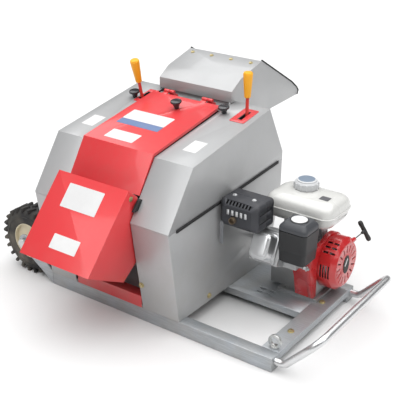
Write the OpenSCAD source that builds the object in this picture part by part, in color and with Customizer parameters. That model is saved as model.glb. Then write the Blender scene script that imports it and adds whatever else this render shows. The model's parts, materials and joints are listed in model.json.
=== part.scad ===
// Engine-driven wood chipper on a two-wheeled ground frame.
// Working frame: x = 0 at the handle end of the side rails, y = 0 at the outer face of the near rail,
// z = 0 on the ground. place() moves the whole machine so that the origin is the centre of its footprint.

/* [Ground frame] */
// Length of the straight side rails
rail_l = 937; // [800:1:1130]
// Height of the side rails
rail_h = 50; // [40:1:60]
// Width of the side rails
rail_w = 45; // [36:1:54]
// Depth of the ground frame over both rails
frame_d = 563; // [469:1:676]
// Wall of the rails
rail_wall = 3.2; // [2.5:0.1:4.5]
// Width of the crossmembers
cross_w = 65; // [50:1:80]
// Height of the crossmembers
cross_h = 25; // [20:1:35]
// Thickness of the engine plate
plate_t = 4.5; // [3:0.5:8]

/* [Wheels] */
// Outer radius of the tyres
tyre_r = 130; // [110:1:150]
// Width of the tyres
tyre_w = 80; // [60:1:90]
// Radius of the pressed rims
rim_r = 68; // [55:1:80]
// Radius of the wheel axle
axle_r = 10; // [8:0.5:14]
// Distance from the rail end to the axle
axle_reach = 136; // [125:1:165]
// Thickness of the axle brackets
bracket_t = 6; // [4:0.5:10]

/* [Handle and eye] */
// Radius of the handle tube
tube_r = 12.5; // [10:0.5:17]
// Reach of the crossbar beyond the rails
handle_reach = 146; // [120:1:200]
// Height of the crossbar
handle_h = 152; // [120:1:200]
// Bend radius of the handle corners
handle_bend = 52; // [40:1:80]
// Inner radius of the lifting eye
eye_r = 14; // [10:0.5:18]
// Thickness of the lifting eye
eye_t = 9; // [6:0.5:12]

/* [Housings] */
// Width of the belt housing on the engine side
right_w = 153; // [140:1:184]
// Width of the housing on the wheel side
left_w = 122; // [102:1:146]
// Clear width between the two housings
gap_w = 305; // [255:1:366]
// Distance from the rail end to the belt housing
engine_bay = 357; // [345:1:420]
// Thickness of the housing sheet
sheet_t = 2.5; // [1.5:0.5:4]
// Forward lean of the front panels
front_lean = 54; // [45:1:60]
// Height of the front knee
knee_z = 394; // [380:1:420]
// Height of the front fold
fold_z = 577; // [560:1:600]
// Distance of the front fold behind the near rail
fold_y = 75; // [65:1:90]
// Height of the rear top edge
top_z = 649; // [635:1:670]
// Distance of the rear top edge behind the near rail
top_y = 530; // [515:1:560]
// Overhang of the rear panels behind the frame
rear_over = 67; // [60:1:90]
// Height of the upper rear corner
rear_high_z = 463; // [455:1:480]
// Height of the lower rear corner
rear_low_z = 340; // [320:1:360]
// Gap between covers and their neighbours
cover_gap = 2; // [1:0.5:3]

/* [Centre] */
// Thickness of the chamber side plates
side_plate_t = 6; // [4:0.5:10]
// Thickness of the red sheet pieces
red_t = 2; // [1.5:0.5:3]
// Depth of the centre cover's side flanges
flange_d = 10; // [8:1:11]
// Radius of the cover hinge pins
pin_r = 3; // [2.5:0.5:4]
// Length of each cover hinge
hinge_l = 44; // [36:1:60]
// Height of the base beam
beam_h = 45; // [35:1:55]

/* [Cutting chamber] */
// Distance of the rotor axis behind the near rail
rotor_y = 265; // [255:1:275]
// Height of the rotor axis
rotor_z = 330; // [322:1:338]
// Radius of the cutter drum
drum_r = 112; // [90:1:118]
// Inner radius of the drum shell
shell_r = 142; // [136:1:148]
// Radius of the rotor shaft
shaft_r = 20; // [15:0.5:24]
// Radius of the feed roller
roller_r = 50; // [40:1:58]
// Radius of the feed roller shaft
roller_shaft_r = 12.5; // [10:0.5:16]
// Radius of the rotor pulley
rotor_pulley_r = 75; // [64:1:88]
// Radius of the engine pulley
engine_pulley_r = 60; // [50:1:66]
// Radius of the idler pulley
idler_r = 28; // [24:1:32]
// Width of the pulleys
pulley_w = 44; // [37:1:50]
// Running clearance of every shaft, measured on the radius
run_gap = 0.05; // [0.01:0.01:0.1]

/* [Controls] */
// Radius of the lever rods
lever_r = 6; // [5:0.5:8]
// Length of the levers from pivot to grip top
lever_l = 226; // [200:1:270]
// Radius of the yellow grips
grip_r = 17; // [14:0.5:20]
// Length of the yellow grips
grip_l = 90; // [75:1:108]
// Radius of the round knobs
knob_r = 20; // [16:0.5:24]
// Lean of the feed lever at rest, in degrees
feed_lean = 15; // [10:1:20]

/* [Engine] */
// Distance of the crankshaft in front of the far rail's outer face
crank_inset = 81; // [70:1:95]
// Height of the crankshaft above the engine plate
crank_h = 122; // [116:1:130]
// Radius of the crankshaft
crank_r = 12.7; // [11:0.1:15]
// Radius of the recoil cover
recoil_r = 95; // [88:1:100]
// Depth of the recoil cover
recoil_d = 62; // [52:1:66]
// Lean of the cylinder above the horizontal, in degrees
cylinder_lean = 25; // [22:1:28]
// Length of the fuel tank
tank_l = 262; // [230:1:270]
// Depth of the fuel tank
tank_d = 182; // [160:1:200]
// Height of the fuel tank
tank_h = 92; // [76:1:105]
// Width of the air cleaner
cleaner_w = 105; // [90:1:110]
// Depth of the air cleaner
cleaner_d = 100; // [84:1:102]

/* [Hidden] */
$fn = 48;

// Steps and seats shared by many pieces
eps = 0.5;
seat = 0.3;
bolt_head_r = 9;
bolt_head_h = 6;

// Places along the machine
right_x1 = -engine_bay;
right_x0 = right_x1 - right_w;
left_x1 = right_x0 - gap_w;
left_x0 = left_x1 - left_w;
mid_x = (right_x0 + left_x1) / 2;
axle_x = -rail_l - axle_reach;
axle_z = tyre_r;
near_wheel_y = rail_w / 2 + 27.5;
lean_y = -front_lean - 2;

// Outline of the housings, seen from the engine side and listed anticlockwise
body_outline = [
    [-2, rail_h], [frame_d, rail_h], [frame_d + rear_over, rear_low_z],
    [frame_d + rear_over, rear_high_z], [top_y, top_z], [fold_y, fold_z], [lean_y, knee_z]];

// Seam between lower housing and upper cover
seam_front_z = knee_z - 6;
seam_rear_z = rear_high_z - 32;
function seam_z(y) = seam_front_z + (seam_rear_z - seam_front_z) * (y - lean_y) / (frame_d + rear_over - lean_y);

// Slope of the upper panels
function top_panel_z(y) = fold_z + (top_z - fold_z) * (y - fold_y) / (top_y - fold_y);
top_slope = atan((top_z - fold_z) / (top_y - fold_y));
function front_panel_y(z) = lean_y + (fold_y - lean_y) * (z - knee_z) / (fold_z - knee_z);

// Centre cover and its hinge
cover_x0 = left_x1 + cover_gap;
cover_x1 = right_x0 - cover_gap;
cover_w = cover_x1 - cover_x0;
cover_rise = 11;
knob_seat_rise = cover_rise + 4;
hinge_y = top_y - 66;
hinge_z = top_panel_z(hinge_y) + 19;
hinge_barrel_r = 6.5;
cover_path = [[front_panel_y(472) - 5, 470], [fold_y - 4, fold_z + cover_rise],
    [hinge_y - 14, top_panel_z(hinge_y - 14) + cover_rise + 4]];
hinge_xs = [mid_x - 85, mid_x + 85];

// Discharge hood
hood_x0 = left_x1 + 3;
hood_x1 = right_x0 - 3;
pivot_y = -47;
pivot_z = 473;
hood_outline = [[-94, 192], [-29, 239], [-13, 468], [-56, 504], [-259, 280]];
chute_x0 = hood_x0 + red_t + 1;
chute_x1 = hood_x1 - red_t - 1;
chute_t = 4;
pivot_r = 5;
pivot_head_h = 2.2;

// Feed hopper
hopper_x0 = left_x1 - 10;
hopper_x1 = right_x0 + 8;
hopper_front = [[top_y - 26, top_z + 1], [top_y - 26, top_z + 41], [top_y + 30, top_z + 75], [top_y + 169, top_z + 111]];
floor_foot = [rotor_y + (shell_r + 5) * cos(12), rotor_z - (shell_r + 5) * sin(12)];
floor_knee = [top_y + 247, top_z - 91];
hopper_floor = [[top_y + 446, top_z - 84], floor_knee, floor_knee + (floor_foot - floor_knee) * 0.34];
hopper_lip = [[top_y + 400, top_z - 24], [top_y + 440, top_z - 54], [top_y + 453, top_z - 69]];

// Drive
crank_y = frame_d - crank_inset;
crank_z = rail_h + crank_h;
pulley_x = right_x0 + 82;
lever_x = right_x1 - 53;
lever_pivot_y = top_y - 67;
lever_pivot_z = top_panel_z(lever_pivot_y) - 76;
feed_lever_x = left_x1 - 23;
feed_pivot_y = top_y - 96;
feed_pivot_z = top_panel_z(feed_pivot_y) - 72;
roller_y = rotor_y + 215;
roller_z = rotor_z + 150;
belt_t = 10;
centre_gap = norm([rotor_y - crank_y, rotor_z - crank_z]);
belt_dir = [rotor_y - crank_y, rotor_z - crank_z] / centre_gap;
belt_side = [belt_dir[1], -belt_dir[0]];
idler_rest_gap = 4;
idler_at = ([rotor_y, rotor_z] + [crank_y, crank_z]) / 2
    + belt_side * ((rotor_pulley_r + engine_pulley_r) / 2 + belt_t + idler_r + idler_rest_gap);
idler_arm_l = 86;
idler_pivot = idler_at - belt_dir * idler_arm_l;

// Fuel tank and air cleaner, measured from the crankshaft
tank_x1 = -12;
tank_y0 = crank_y - 126;
tank_z0 = crank_z + 156;
cap_x = tank_x1 - tank_l + 106;
cap_y = tank_y0 + 118;
cleaner_x0 = -40 - cleaner_w;
cleaner_y0 = crank_y - 234;
cleaner_z0 = crank_z + 70;
cleaner_z1 = crank_z + 218;
cylinder_x = -200;

// Whole-machine box, which sets the origin
box_x0 = axle_x - tyre_r;
box_x1 = handle_reach + tube_r;
box_y0 = hood_outline[4][0];
rim_line = concat([hopper_front[3]], hopper_lip, [hopper_floor[0]]);
trim_t = 6;
box_y1 = max([for (p = path_side(rim_line, trim_t)) p[0]]);

module place() {
    translate([-(box_x0 + box_x1) / 2, -(box_y0 + box_y1) / 2, 0]) children();
}

// ---- Shared shapes ----

function unit(v) = v / norm(v);
function left_of(a, b) = let (d = unit(b - a)) [-d[1], d[0]];
function corner_in(a, b, c, t) =
    let (n1 = left_of(a, b), n2 = left_of(b, c)) b + (n1 + n2) * t / (1 + n1 * n2);
function inset(pts, t) =
    let (n = len(pts)) [for (i = [0:n - 1]) corner_in(pts[(i + n - 1) % n], pts[i], pts[(i + 1) % n], t)];
function path_side(p, t) = let (n = len(p)) [for (i = [0:n - 1])
    i == 0 ? p[0] + t * left_of(p[0], p[1])
    : i == n - 1 ? p[i] + t * left_of(p[i - 1], p[i])
    : corner_in(p[i - 1], p[i], p[i + 1], t)];
function backwards(p) = [for (i = [len(p) - 1:-1:0]) p[i]];

// A flat outline in the side view (y, z), made solid from x0 to x1
module across(x0, x1) {
    translate([x0, 0, 0]) rotate([90, 0, 90]) linear_extrude(x1 - x0) children();
}

// A flat outline in the front view (x, z), made solid from y0 to y1
module deep(y0, y1) {
    translate([0, y1, 0]) rotate([90, 0, 0]) linear_extrude(y1 - y0) children();
}

// Bent sheet: a path in a flat view, thickened to its left
module bent(p, t) {
    polygon(concat(p, backwards(path_side(p, t))));
}

module box(x0, x1, y0, y1, z0, z1) {
    translate([x0, y0, z0]) cube([x1 - x0, y1 - y0, z1 - z0]);
}

module rod_x(x0, x1, y, z, r) {
    translate([x0, y, z]) rotate([0, 90, 0]) cylinder(h = x1 - x0, r = r);
}

module rod_y(y0, y1, x, z, r) {
    translate([x, y1, z]) rotate([90, 0, 0]) cylinder(h = y1 - y0, r = r);
}

// Rectangle with round corners, from [0, 0]
module round_rect(w, d, r) {
    translate([r, 0]) square([w - 2 * r, d]);
    translate([0, r]) square([w, d - 2 * r]);
    for (x = [r, w - r]) {
        for (y = [r, d - r]) translate([x, y]) circle(r = r);
    }
}

// Hexagon bolt head standing on z = 0
module hex_head(r = bolt_head_r, h = bolt_head_h) {
    cylinder(h = h * 0.35, r = r * 1.25);
    translate([0, 0, h * 0.35]) cylinder(h = h * 0.65, r = r, $fn = 6);
}

// ---- Ground frame ----

module side_rail() {
    difference() {
        box(-rail_l, 0, 0, rail_w, 0, rail_h);
        box(-rail_l + rail_wall, -rail_wall, rail_wall, rail_w - rail_wall, rail_wall, rail_h - rail_wall);
    }
}

module side_rails() {
    color("silver") {
        side_rail();
        translate([0, frame_d, 0]) mirror([0, 1, 0]) side_rail();
    }
}

module crossmember(x0, x1) {
    y0 = rail_w;
    y1 = frame_d - rail_w;
    wall = rail_wall;
    difference() {
        box(x0, x1, y0, y1, rail_h - cross_h, rail_h);
        box(x0 + wall, x1 - wall, y0 - eps, y1 + eps, rail_h - cross_h + wall, rail_h - wall);
    }
}

module crossmembers() {
    color("silver") {
        crossmember(-cross_w, 0);
        crossmember(-rail_l, -rail_l + cross_w);
    }
}

plate_y0 = crank_y - 193;
plate_x0 = right_x0;

module engine_plate() {
    color("gainsboro") difference() {
        union() {
            box(plate_x0, -cross_w, plate_y0, frame_d - rail_w, rail_h - plate_t, rail_h);
            box(plate_x0, -cross_w, plate_y0, plate_y0 + plate_t, rail_h - cross_h, rail_h);
        }
        for (x = [-262, -222]) {
            for (y = [plate_y0 + 38, plate_y0 + 62]) {
                box(x, x + 22, y, y + 8, rail_h - plate_t - eps, rail_h + eps);
            }
        }
    }
}

// Upright plate that carries the axle in front of or behind a wheel
module axle_bracket(y0, x_root, z_root) {
    difference() {
        deep(y0, y0 + bracket_t) union() {
            translate([axle_x, axle_z]) circle(r = 3 * axle_r);
            polygon([[x_root, z_root], [x_root, rail_h],
                [axle_x + 2.1 * axle_r, axle_z + 2.1 * axle_r], [axle_x - 2.1 * axle_r, axle_z - 2.1 * axle_r]]);
        }
        rod_y(y0 - eps, y0 + bracket_t + eps, axle_x, axle_z, axle_r);
    }
}

inner_bracket_y = near_wheel_y + tyre_w / 2 + 8;

module axle_brackets() {
    color("silver") {
        for (side = [0, 1]) {
            translate([0, side * frame_d, 0]) mirror([0, side, 0]) {
                axle_bracket(0, -rail_l, 0);
                axle_bracket(inner_bracket_y, -rail_l, rail_h - cross_h);
            }
        }
    }
}

module wheel_axle() {
    color("dimgray") {
        rod_y(-8, frame_d + 8, axle_x, axle_z, axle_r);
        for (y = [-18, frame_d + 8]) rod_y(y, y + 10, axle_x, axle_z, 1.8 * axle_r);
    }
}

module tyre() {
    half = tyre_w / 2;
    crown = tyre_r - 9;
    rotate([90, 0, 0]) rotate_extrude() difference() {
        union() {
            translate([rim_r, -half + 8]) square([tyre_r - rim_r, 2 * half - 16]);
            translate([rim_r, -half]) square([crown - 10 - rim_r, 2 * half]);
            for (side = [-1, 1]) {
                translate([crown - 10, side * (half - 17)]) circle(r = 17);
            }
        }
        translate([rim_r - 60, -half * 2]) square([60 + seat, half * 4]);
    }
}

module rim() {
    hub_r = 22;
    wide = tyre_w / 2 - 4;
    rotate([90, 0, 0]) difference() {
        union() {
            translate([0, 0, -tyre_w / 2 + 2]) cylinder(h = tyre_w - 4, r = hub_r);
            rotate_extrude() union() {
                translate([hub_r - 2, wide - 18]) square([rim_r - hub_r - 1, 3]);
                translate([rim_r - 4, -wide]) square([4, 2 * wide]);
            }
        }
        cylinder(h = tyre_w * 2, r = axle_r + run_gap, center = true);
    }
}

module near_tyre() {
    color("black") translate([axle_x, near_wheel_y, axle_z]) tyre();
}

module near_rim() {
    color("ivory") translate([axle_x, near_wheel_y, axle_z]) rim();
}

module far_tyre() {
    color("black") translate([axle_x, frame_d - near_wheel_y, axle_z]) tyre();
}

module far_rim() {
    color("ivory") translate([axle_x, frame_d - near_wheel_y, axle_z]) mirror([0, 1, 0]) rim();
}

// ---- Lifting handle ----

handle_z0 = 32;
handle_flat = 34;
handle_turn = 34;
handle_tilt = atan((handle_h - handle_z0) / (handle_reach - handle_flat));
leg_near_y = rail_w / 2;
leg_far_y = frame_d - rail_w / 2;

bend_swell = 0.06;
bend_lap = 1;

// Tube bend about a centre on the Z axis, a hair fatter than the straight tube that laps into it
module tube_bend(radius, turn) {
    rotate_extrude(angle = turn) translate([radius, 0]) circle(r = tube_r + bend_swell);
}

// One leg in the plane x-z at the given y, then its corner towards the middle
module handle_half(y, side) {
    turn_run = handle_turn * tan(handle_tilt / 2);
    slope_l = norm([handle_reach - handle_flat, handle_h - handle_z0]) - turn_run - handle_bend;
    translate([0, y, handle_z0]) {
        rod_x(seat, handle_flat - turn_run + bend_lap, 0, 0, tube_r);
        translate([handle_flat - turn_run, 0, handle_turn]) rotate([90, 0, 0]) rotate([0, 0, -90])
            tube_bend(handle_turn, handle_tilt);
        translate([handle_flat, 0, 0]) rotate([0, -handle_tilt, 0]) {
            rod_x(turn_run - bend_lap, turn_run + slope_l + bend_lap, 0, 0, tube_r);
            translate([turn_run + slope_l, side * handle_bend, 0]) rotate([0, 0, side > 0 ? -90 : 0])
                tube_bend(handle_bend, 90);
        }
    }
}

module lift_handle() {
    lap_y = handle_bend - bend_lap;
    color("whitesmoke") {
        handle_half(leg_near_y, 1);
        handle_half(leg_far_y, -1);
        rod_y(leg_near_y + lap_y, leg_far_y - lap_y, handle_reach, handle_h, tube_r);
    }
}

eye_x = -26;
eye_y = rail_w + 16;
eye_z = rail_h + 24;

module lifting_eye() {
    color("gainsboro") translate([eye_x, eye_y, 0]) difference() {
        union() {
            translate([0, 0, rail_h]) cylinder(h = 7, r = 13);
            rod_y(-eye_t / 2, eye_t / 2, 0, eye_z, eye_r + 9);
        }
        rod_y(-eye_t, eye_t, 0, eye_z, eye_r);
        box(-40, 40, -40, 40, 0, rail_h);
    }
}

hopper_bolt_xs = [for (i = [0:3]) hopper_x0 + 30 + i * (hopper_x1 - hopper_x0 - 60) / 3];
front_slope = atan((hopper_front[3][1] - hopper_front[2][1]) / (hopper_front[3][0] - hopper_front[2][0]));

module hex_bolts() {
    color("goldenrod") {
        for (at = [[-32, rail_w + 127], [-37, rail_w + 349]]) {
            translate([at[0], at[1], rail_h]) hex_head();
        }
        translate([right_x1, 170, rail_h + 22]) rotate([0, 90, 0]) hex_head(8);
        translate([left_x0, 170, rail_h + 22]) rotate([0, -90, 0]) hex_head(8);
        for (x = [right_x0 + 10, left_x1 - 12]) {
            z = rail_h + 102;
            y = -2 - front_lean * (z - rail_h) / (knee_z - rail_h);
            translate([x, y, z]) rotate([90 + atan(front_lean / (knee_z - rail_h)), 0, 0]) hex_head(8);
        }
        rod_x(hood_x1 + seat, hood_x1 + seat + pivot_head_h, pivot_y, pivot_z, 8.5);
        rod_x(chute_x1 - chute_t, hood_x1 + seat, pivot_y, pivot_z, pivot_r);
        rod_x(hood_x0 - seat - pivot_head_h, hood_x0 - seat, pivot_y, pivot_z, 8.5);
        rod_x(hood_x0 - seat, chute_x0 + chute_t, pivot_y, pivot_z, pivot_r);
        for (x = hopper_bolt_xs) {
            at = hopper_front[3] - [26, 26 * tan(front_slope)];
            translate([x, at[0], at[1]]) rotate([front_slope, 0, 0]) hex_head(6, 4);
        }
    }
}

// ---- Housings and covers ----

// The region below or above the sloping seam, gap away from it
module below_seam(gap = 0) {
    polygon([[-300, 0], [1000, 0], [1000, seam_z(1000) - gap], [-300, seam_z(-300) - gap]]);
}

module above_seam(gap = 0) {
    polygon([[-300, seam_z(-300) + gap], [1000, seam_z(1000) + gap], [1000, 1000], [-300, 1000]]);
}

// Shell open on its inner side, with the outer wall at x_out and the rim at x_in
module shell(x_in, x_out) {
    wall = x_out > x_in ? sheet_t : -sheet_t;
    difference() {
        across(min(x_in, x_out), max(x_in, x_out)) polygon(body_outline);
        across(min(x_in - wall, x_out - wall), max(x_in - wall, x_out - wall))
            polygon(inset(body_outline, sheet_t));
    }
}

module lower_part(x_in, x_out) {
    intersection() {
        shell(x_in, x_out);
        across(min(x_in, x_out), max(x_in, x_out)) below_seam(0);
    }
}

module upper_part(x_in, x_out) {
    intersection() {
        shell(x_in, x_out);
        across(min(x_in, x_out), max(x_in, x_out)) above_seam(seat);
    }
}

module right_housing() {
    color("gray") difference() {
        lower_part(right_x0, right_x1);
        box(right_x0 + 12, right_x1 - 12, 30, frame_d - 30, rail_h - eps, rail_h + sheet_t + eps);
        rod_x(right_x1 - 10, right_x1 + 10, crank_y, crank_z, 30);
    }
}

module left_housing() {
    color("gray") difference() {
        lower_part(left_x1, left_x0);
        box(left_x0 + 12, left_x1 - 12, 30, frame_d - 30, rail_h - eps, rail_h + sheet_t + eps);
    }
}

// Slot that a lever swings in, cut straight down
module lever_slot(x, y, length) {
    box(x - lever_r - 3, x + lever_r + 3, y - length / 2, y + length / 2, top_z - 60, top_z + 40);
}

// Axis of a knob: square to the top panel, at a point on it
module on_top_panel(x, y, rise) {
    translate([x, y, top_panel_z(y) + rise]) rotate([top_slope, 0, 0]) children();
}

right_knob_at = [right_x0 + 24, top_y - 95];
left_knob_at = [left_x1 - 48, top_y - 125];
centre_knob_at = [mid_x + 20, top_y - 162];
clutch_slot_y = lever_pivot_y - 17;
feed_slot_y = feed_pivot_y - 3;
slot_l = 64;
knob_stud_r = 4;
knob_hole_r = 6;

module right_cover() {
    color("lightgray") difference() {
        upper_part(right_x0, right_x1);
        lever_slot(lever_x, clutch_slot_y, slot_l);
        on_top_panel(right_knob_at[0], right_knob_at[1], 0) cylinder(h = 30, r = knob_hole_r, center = true);
    }
}

module left_cover() {
    color("lightgray") difference() {
        upper_part(left_x1, left_x0);
        lever_slot(feed_lever_x, feed_slot_y, slot_l);
        on_top_panel(left_knob_at[0], left_knob_at[1], 0) cylinder(h = 30, r = knob_hole_r, center = true);
    }
}

module slot_plate(x, y, x_left) {
    on_top_panel(x, y, 0) difference() {
        translate([-x_left, -52, 0]) linear_extrude(2) round_rect(x_left + 30, 104, 6);
        translate([-lever_r - 3, -slot_l / 2, -eps]) cube([2 * lever_r + 6, slot_l, 4]);
    }
}

module slot_plates() {
    color("firebrick") {
        slot_plate(lever_x, clutch_slot_y, 30);
        slot_plate(feed_lever_x, feed_slot_y, 14);
    }
}

module seam_strip(x0, x1) {
    across(x0, x1) polygon([
        [lean_y + 40, seam_z(lean_y + 40) - 6], [top_y + 71, seam_z(top_y + 71) - 6],
        [top_y + 71, seam_z(top_y + 71) + 6], [lean_y + 40, seam_z(lean_y + 40) + 6]]);
}

module rubber_strips() {
    color("black") {
        seam_strip(right_x1, right_x1 + 4);
        seam_strip(left_x0 - 4, left_x0);
        across(right_x0 + 1, right_x0 + 14) polygon([
            [front_panel_y(430) - 20, 430], [front_panel_y(430), 430],
            [front_panel_y(462), 462], [front_panel_y(462) - 14, 462]]);
    }
}

module base_beam() {
    wall = 3;
    color("firebrick") difference() {
        box(left_x1 + side_plate_t, right_x0 - side_plate_t, -2, 40, rail_h, rail_h + beam_h);
        box(left_x1, right_x0, -2 + wall, 40 - wall, rail_h + wall, rail_h + beam_h - wall);
    }
}

// ---- Centre section ----

plate_inset = inset(body_outline, 10);

module side_plate_outline() {
    difference() {
        intersection() {
            polygon(plate_inset);
            translate([-5, rail_h]) square([900, 700]);
        }
        translate([rotor_y, rotor_z]) circle(r = shaft_r + 4);
        translate([roller_y, roller_z]) circle(r = roller_shaft_r + 4);
    }
    translate([-2, rail_h]) square([frame_d + 2, 12]);
}

module right_side_plate() {
    color("dimgray") {
        across(right_x0 - side_plate_t, right_x0) side_plate_outline();
        rod_x(right_x0, lever_x + 12, lever_pivot_y, lever_pivot_z, 7);
        rod_x(right_x0, pulley_x + pulley_w / 2 + 16, idler_pivot[0], idler_pivot[1], 8);
    }
}

module left_side_plate() {
    color("dimgray") {
        across(left_x1, left_x1 + side_plate_t) side_plate_outline();
        rod_x(feed_lever_x - 12, left_x1, feed_pivot_y, feed_pivot_z, 7);
    }
}

in_x0 = left_x1 + side_plate_t;
in_x1 = right_x0 - side_plate_t;
feed_low = -12;
feed_high = 55;
out_high = 122;
out_low = 200;
function on_shell(a, r) = [rotor_y + r * cos(a), rotor_z + r * sin(a)];

// Wedge of the side view between two angles about the rotor
module wedge(a0, a1) {
    reach = 3 * shell_r;
    middle = (a0 + a1) / 2;
    polygon([[rotor_y, rotor_z], on_shell(a0, reach), on_shell(middle, reach), on_shell(a1, reach)]);
}

module drum_shell() {
    color("slategray") across(in_x0, in_x1) difference() {
        translate([rotor_y, rotor_z]) circle(r = shell_r + 4);
        translate([rotor_y, rotor_z]) circle(r = shell_r);
        wedge(feed_low, feed_high);
        wedge(out_high, out_low);
    }
}

feed_floor = path_side([floor_knee + (floor_foot - floor_knee) * 0.29, floor_foot], seat);
roof_y = hopper_front[0][0] + sheet_t;
feed_roof = [[roof_y, top_z + 20], [roof_y, top_z - 9], on_shell(feed_high, shell_r + 5)];

module feed_chute() {
    strip_y0 = hinge_y - 18;
    strip_y1 = top_y - 36;
    color("slategray") {
        across(in_x0, in_x1) bent(feed_floor, 3);
        across(in_x0, in_x1) bent(feed_roof, 3);
        across(in_x0, in_x1) polygon([
            [strip_y0, top_panel_z(strip_y0) - 16], [strip_y1, top_panel_z(strip_y1) - 16],
            [strip_y1, top_panel_z(strip_y1) - 3], [strip_y0, top_panel_z(strip_y0) - 3]]);
    }
}

module discharge_chute() {
    color("firebrick") {
        across(in_x0, in_x1) bent([on_shell(out_high, shell_r + 5), [-2, 452]], 3);
        across(in_x0, in_x1) bent([[-4, 236], on_shell(out_low, shell_r + 5)], 3);
        for (x = [chute_x0, chute_x1 - chute_t]) {
            difference() {
                across(x, x + chute_t) polygon([
                    [12, 240], [12, 446], [-5, 462], [-30, 485], [-60, 470], [-62, 440], [-30, 250]]);
                rod_x(x - eps, x + chute_t + eps, pivot_y, pivot_z, pivot_r + 0.02);
            }
        }
    }
}

module discharge_hood() {
    color("red") {
        across(hood_x0, hood_x1) bent([hood_outline[3], hood_outline[4]], red_t);
        for (x = [hood_x0, hood_x1 - red_t]) {
            difference() {
                across(x, x + red_t) polygon(hood_outline);
                rod_x(x - eps, x + red_t + eps, pivot_y, pivot_z, pivot_r + run_gap);
            }
        }
    }
}

module centre_cover() {
    color("red") difference() {
        union() {
            across(cover_x0, cover_x1) bent(backwards(cover_path), red_t);
            for (x = [cover_x0, cover_x1 - red_t]) {
                across(x, x + red_t) bent(backwards(cover_path), flange_d);
            }
            for (x = hinge_xs) {
                rod_x(x - hinge_l / 2, x - seat, hinge_y, hinge_z, hinge_barrel_r);
                across(x - hinge_l / 2, x - seat) polygon([
                    cover_path[2] + [-6, -1], cover_path[2] + [0, -red_t],
                    [hinge_y, hinge_z - hinge_barrel_r + 1], [hinge_y, hinge_z - 2], cover_path[2] + [0, 1.5]]);
            }
        }
        for (x = hinge_xs) {
            rod_x(x - hinge_l / 2 - eps, x + eps, hinge_y, hinge_z, pin_r + run_gap);
        }
        on_top_panel(centre_knob_at[0], centre_knob_at[1], cover_rise) cylinder(h = 40, r = knob_hole_r, center = true);
    }
}

module cover_hinges() {
    color("firebrick") for (x = hinge_xs) {
        rod_x(x, x + hinge_l / 2, hinge_y, hinge_z, hinge_barrel_r);
        rod_x(x - hinge_l / 2, x, hinge_y, hinge_z, pin_r);
        across(x, x + hinge_l / 2) polygon([
            [hinge_y - 2, hinge_z - hinge_barrel_r + 1], [hinge_y + 5, hinge_z - 4],
            [hinge_y + 22, top_panel_z(hinge_y + 22) + 2], [hinge_y + 22, top_panel_z(hinge_y + 22) - 3],
            [hinge_y - 6, top_panel_z(hinge_y - 6) - 3], [hinge_y - 6, top_panel_z(hinge_y - 6)]]);
    }
}

// ---- Feed hopper ----

module feed_hopper() {
    panel = concat([hopper_floor[2]], hopper_front, hopper_lip, [hopper_floor[0], floor_knee]);
    color("gainsboro") {
        across(hopper_x0, hopper_x1) bent(backwards(hopper_front), sheet_t);
        across(hopper_x0, hopper_x1) bent(backwards(hopper_floor), sheet_t);
        for (x = [hopper_x0, hopper_x1 - sheet_t]) {
            across(x, x + sheet_t) difference() {
                polygon(panel);
                polygon(inset(body_outline, -cover_gap));
            }
        }
    }
}

// Rubber edging that stands on the rim of the mouth
module mouth_trim() {
    color("black") for (x = [hopper_x0 - 2, hopper_x1 - sheet_t - 2]) {
        across(x, x + sheet_t + 4) bent(rim_line, trim_t);
    }
}

// ---- Controls ----

// Round knob on a stud, standing on the panel at z = 0
module knob(rise) {
    cylinder(h = 6, r = 9);
    translate([0, 0, 6]) cylinder(h = rise - 14, r1 = 9, r2 = knob_r * 0.8);
    translate([0, 0, rise - 8]) cylinder(h = 8, r = knob_r);
    translate([0, 0, -22]) cylinder(h = 22, r = knob_stud_r);
}

module right_knob() {
    color("black") on_top_panel(right_knob_at[0], right_knob_at[1], seat) knob(26);
}

module left_knob() {
    color("black") on_top_panel(left_knob_at[0], left_knob_at[1], seat) knob(26);
}

module centre_knob() {
    color("black") on_top_panel(centre_knob_at[0], centre_knob_at[1], knob_seat_rise) knob(30);
}

// Lever standing on its hub, pointing up from the pivot
module lever() {
    difference() {
        union() {
            rod_x(-8, 8, 0, 0, 13);
            cylinder(h = lever_l - 12, r = lever_r);
        }
        rod_x(-10, 10, 0, 0, 7 + run_gap);
    }
}

module grip() {
    translate([0, 0, lever_l - grip_l]) difference() {
        union() {
            cylinder(h = grip_l * 0.72, r1 = grip_r * 0.66, r2 = grip_r * 0.94);
            translate([0, 0, grip_l * 0.72]) cylinder(h = grip_l * 0.2, r1 = grip_r * 0.94, r2 = grip_r);
            translate([0, 0, grip_l * 0.92]) cylinder(h = grip_l * 0.08, r1 = grip_r, r2 = grip_r * 0.86);
        }
        translate([0, 0, -eps]) cylinder(h = grip_l - 12 + eps + 0.02, r = lever_r + 0.02);
    }
}

module at_clutch_lever() {
    translate([lever_x, lever_pivot_y, lever_pivot_z]) children();
}

module at_feed_lever() {
    translate([feed_lever_x, feed_pivot_y, feed_pivot_z]) rotate([feed_lean, 0, 0]) children();
}

module clutch_lever() {
    color("crimson") at_clutch_lever() lever();
}

module clutch_grip() {
    color("gold") at_clutch_lever() grip();
}

module feed_lever() {
    color("crimson") at_feed_lever() lever();
}

module feed_grip() {
    color("gold") at_feed_lever() grip();
}

// ---- Cutting chamber and drive ----

bearing_w = 28;
roller_bearing_w = 24;
shaft_x0 = left_x1 - bearing_w - 10;
shaft_x1 = pulley_x + pulley_w / 2 + 6;
drum_x0 = in_x0 + 18;
drum_x1 = in_x1 - 18;

module rotor_shaft() {
    color("silver") rod_x(shaft_x0, shaft_x1, rotor_y, rotor_z, shaft_r);
}

knife_h = 12;
knife_w = 38;

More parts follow.
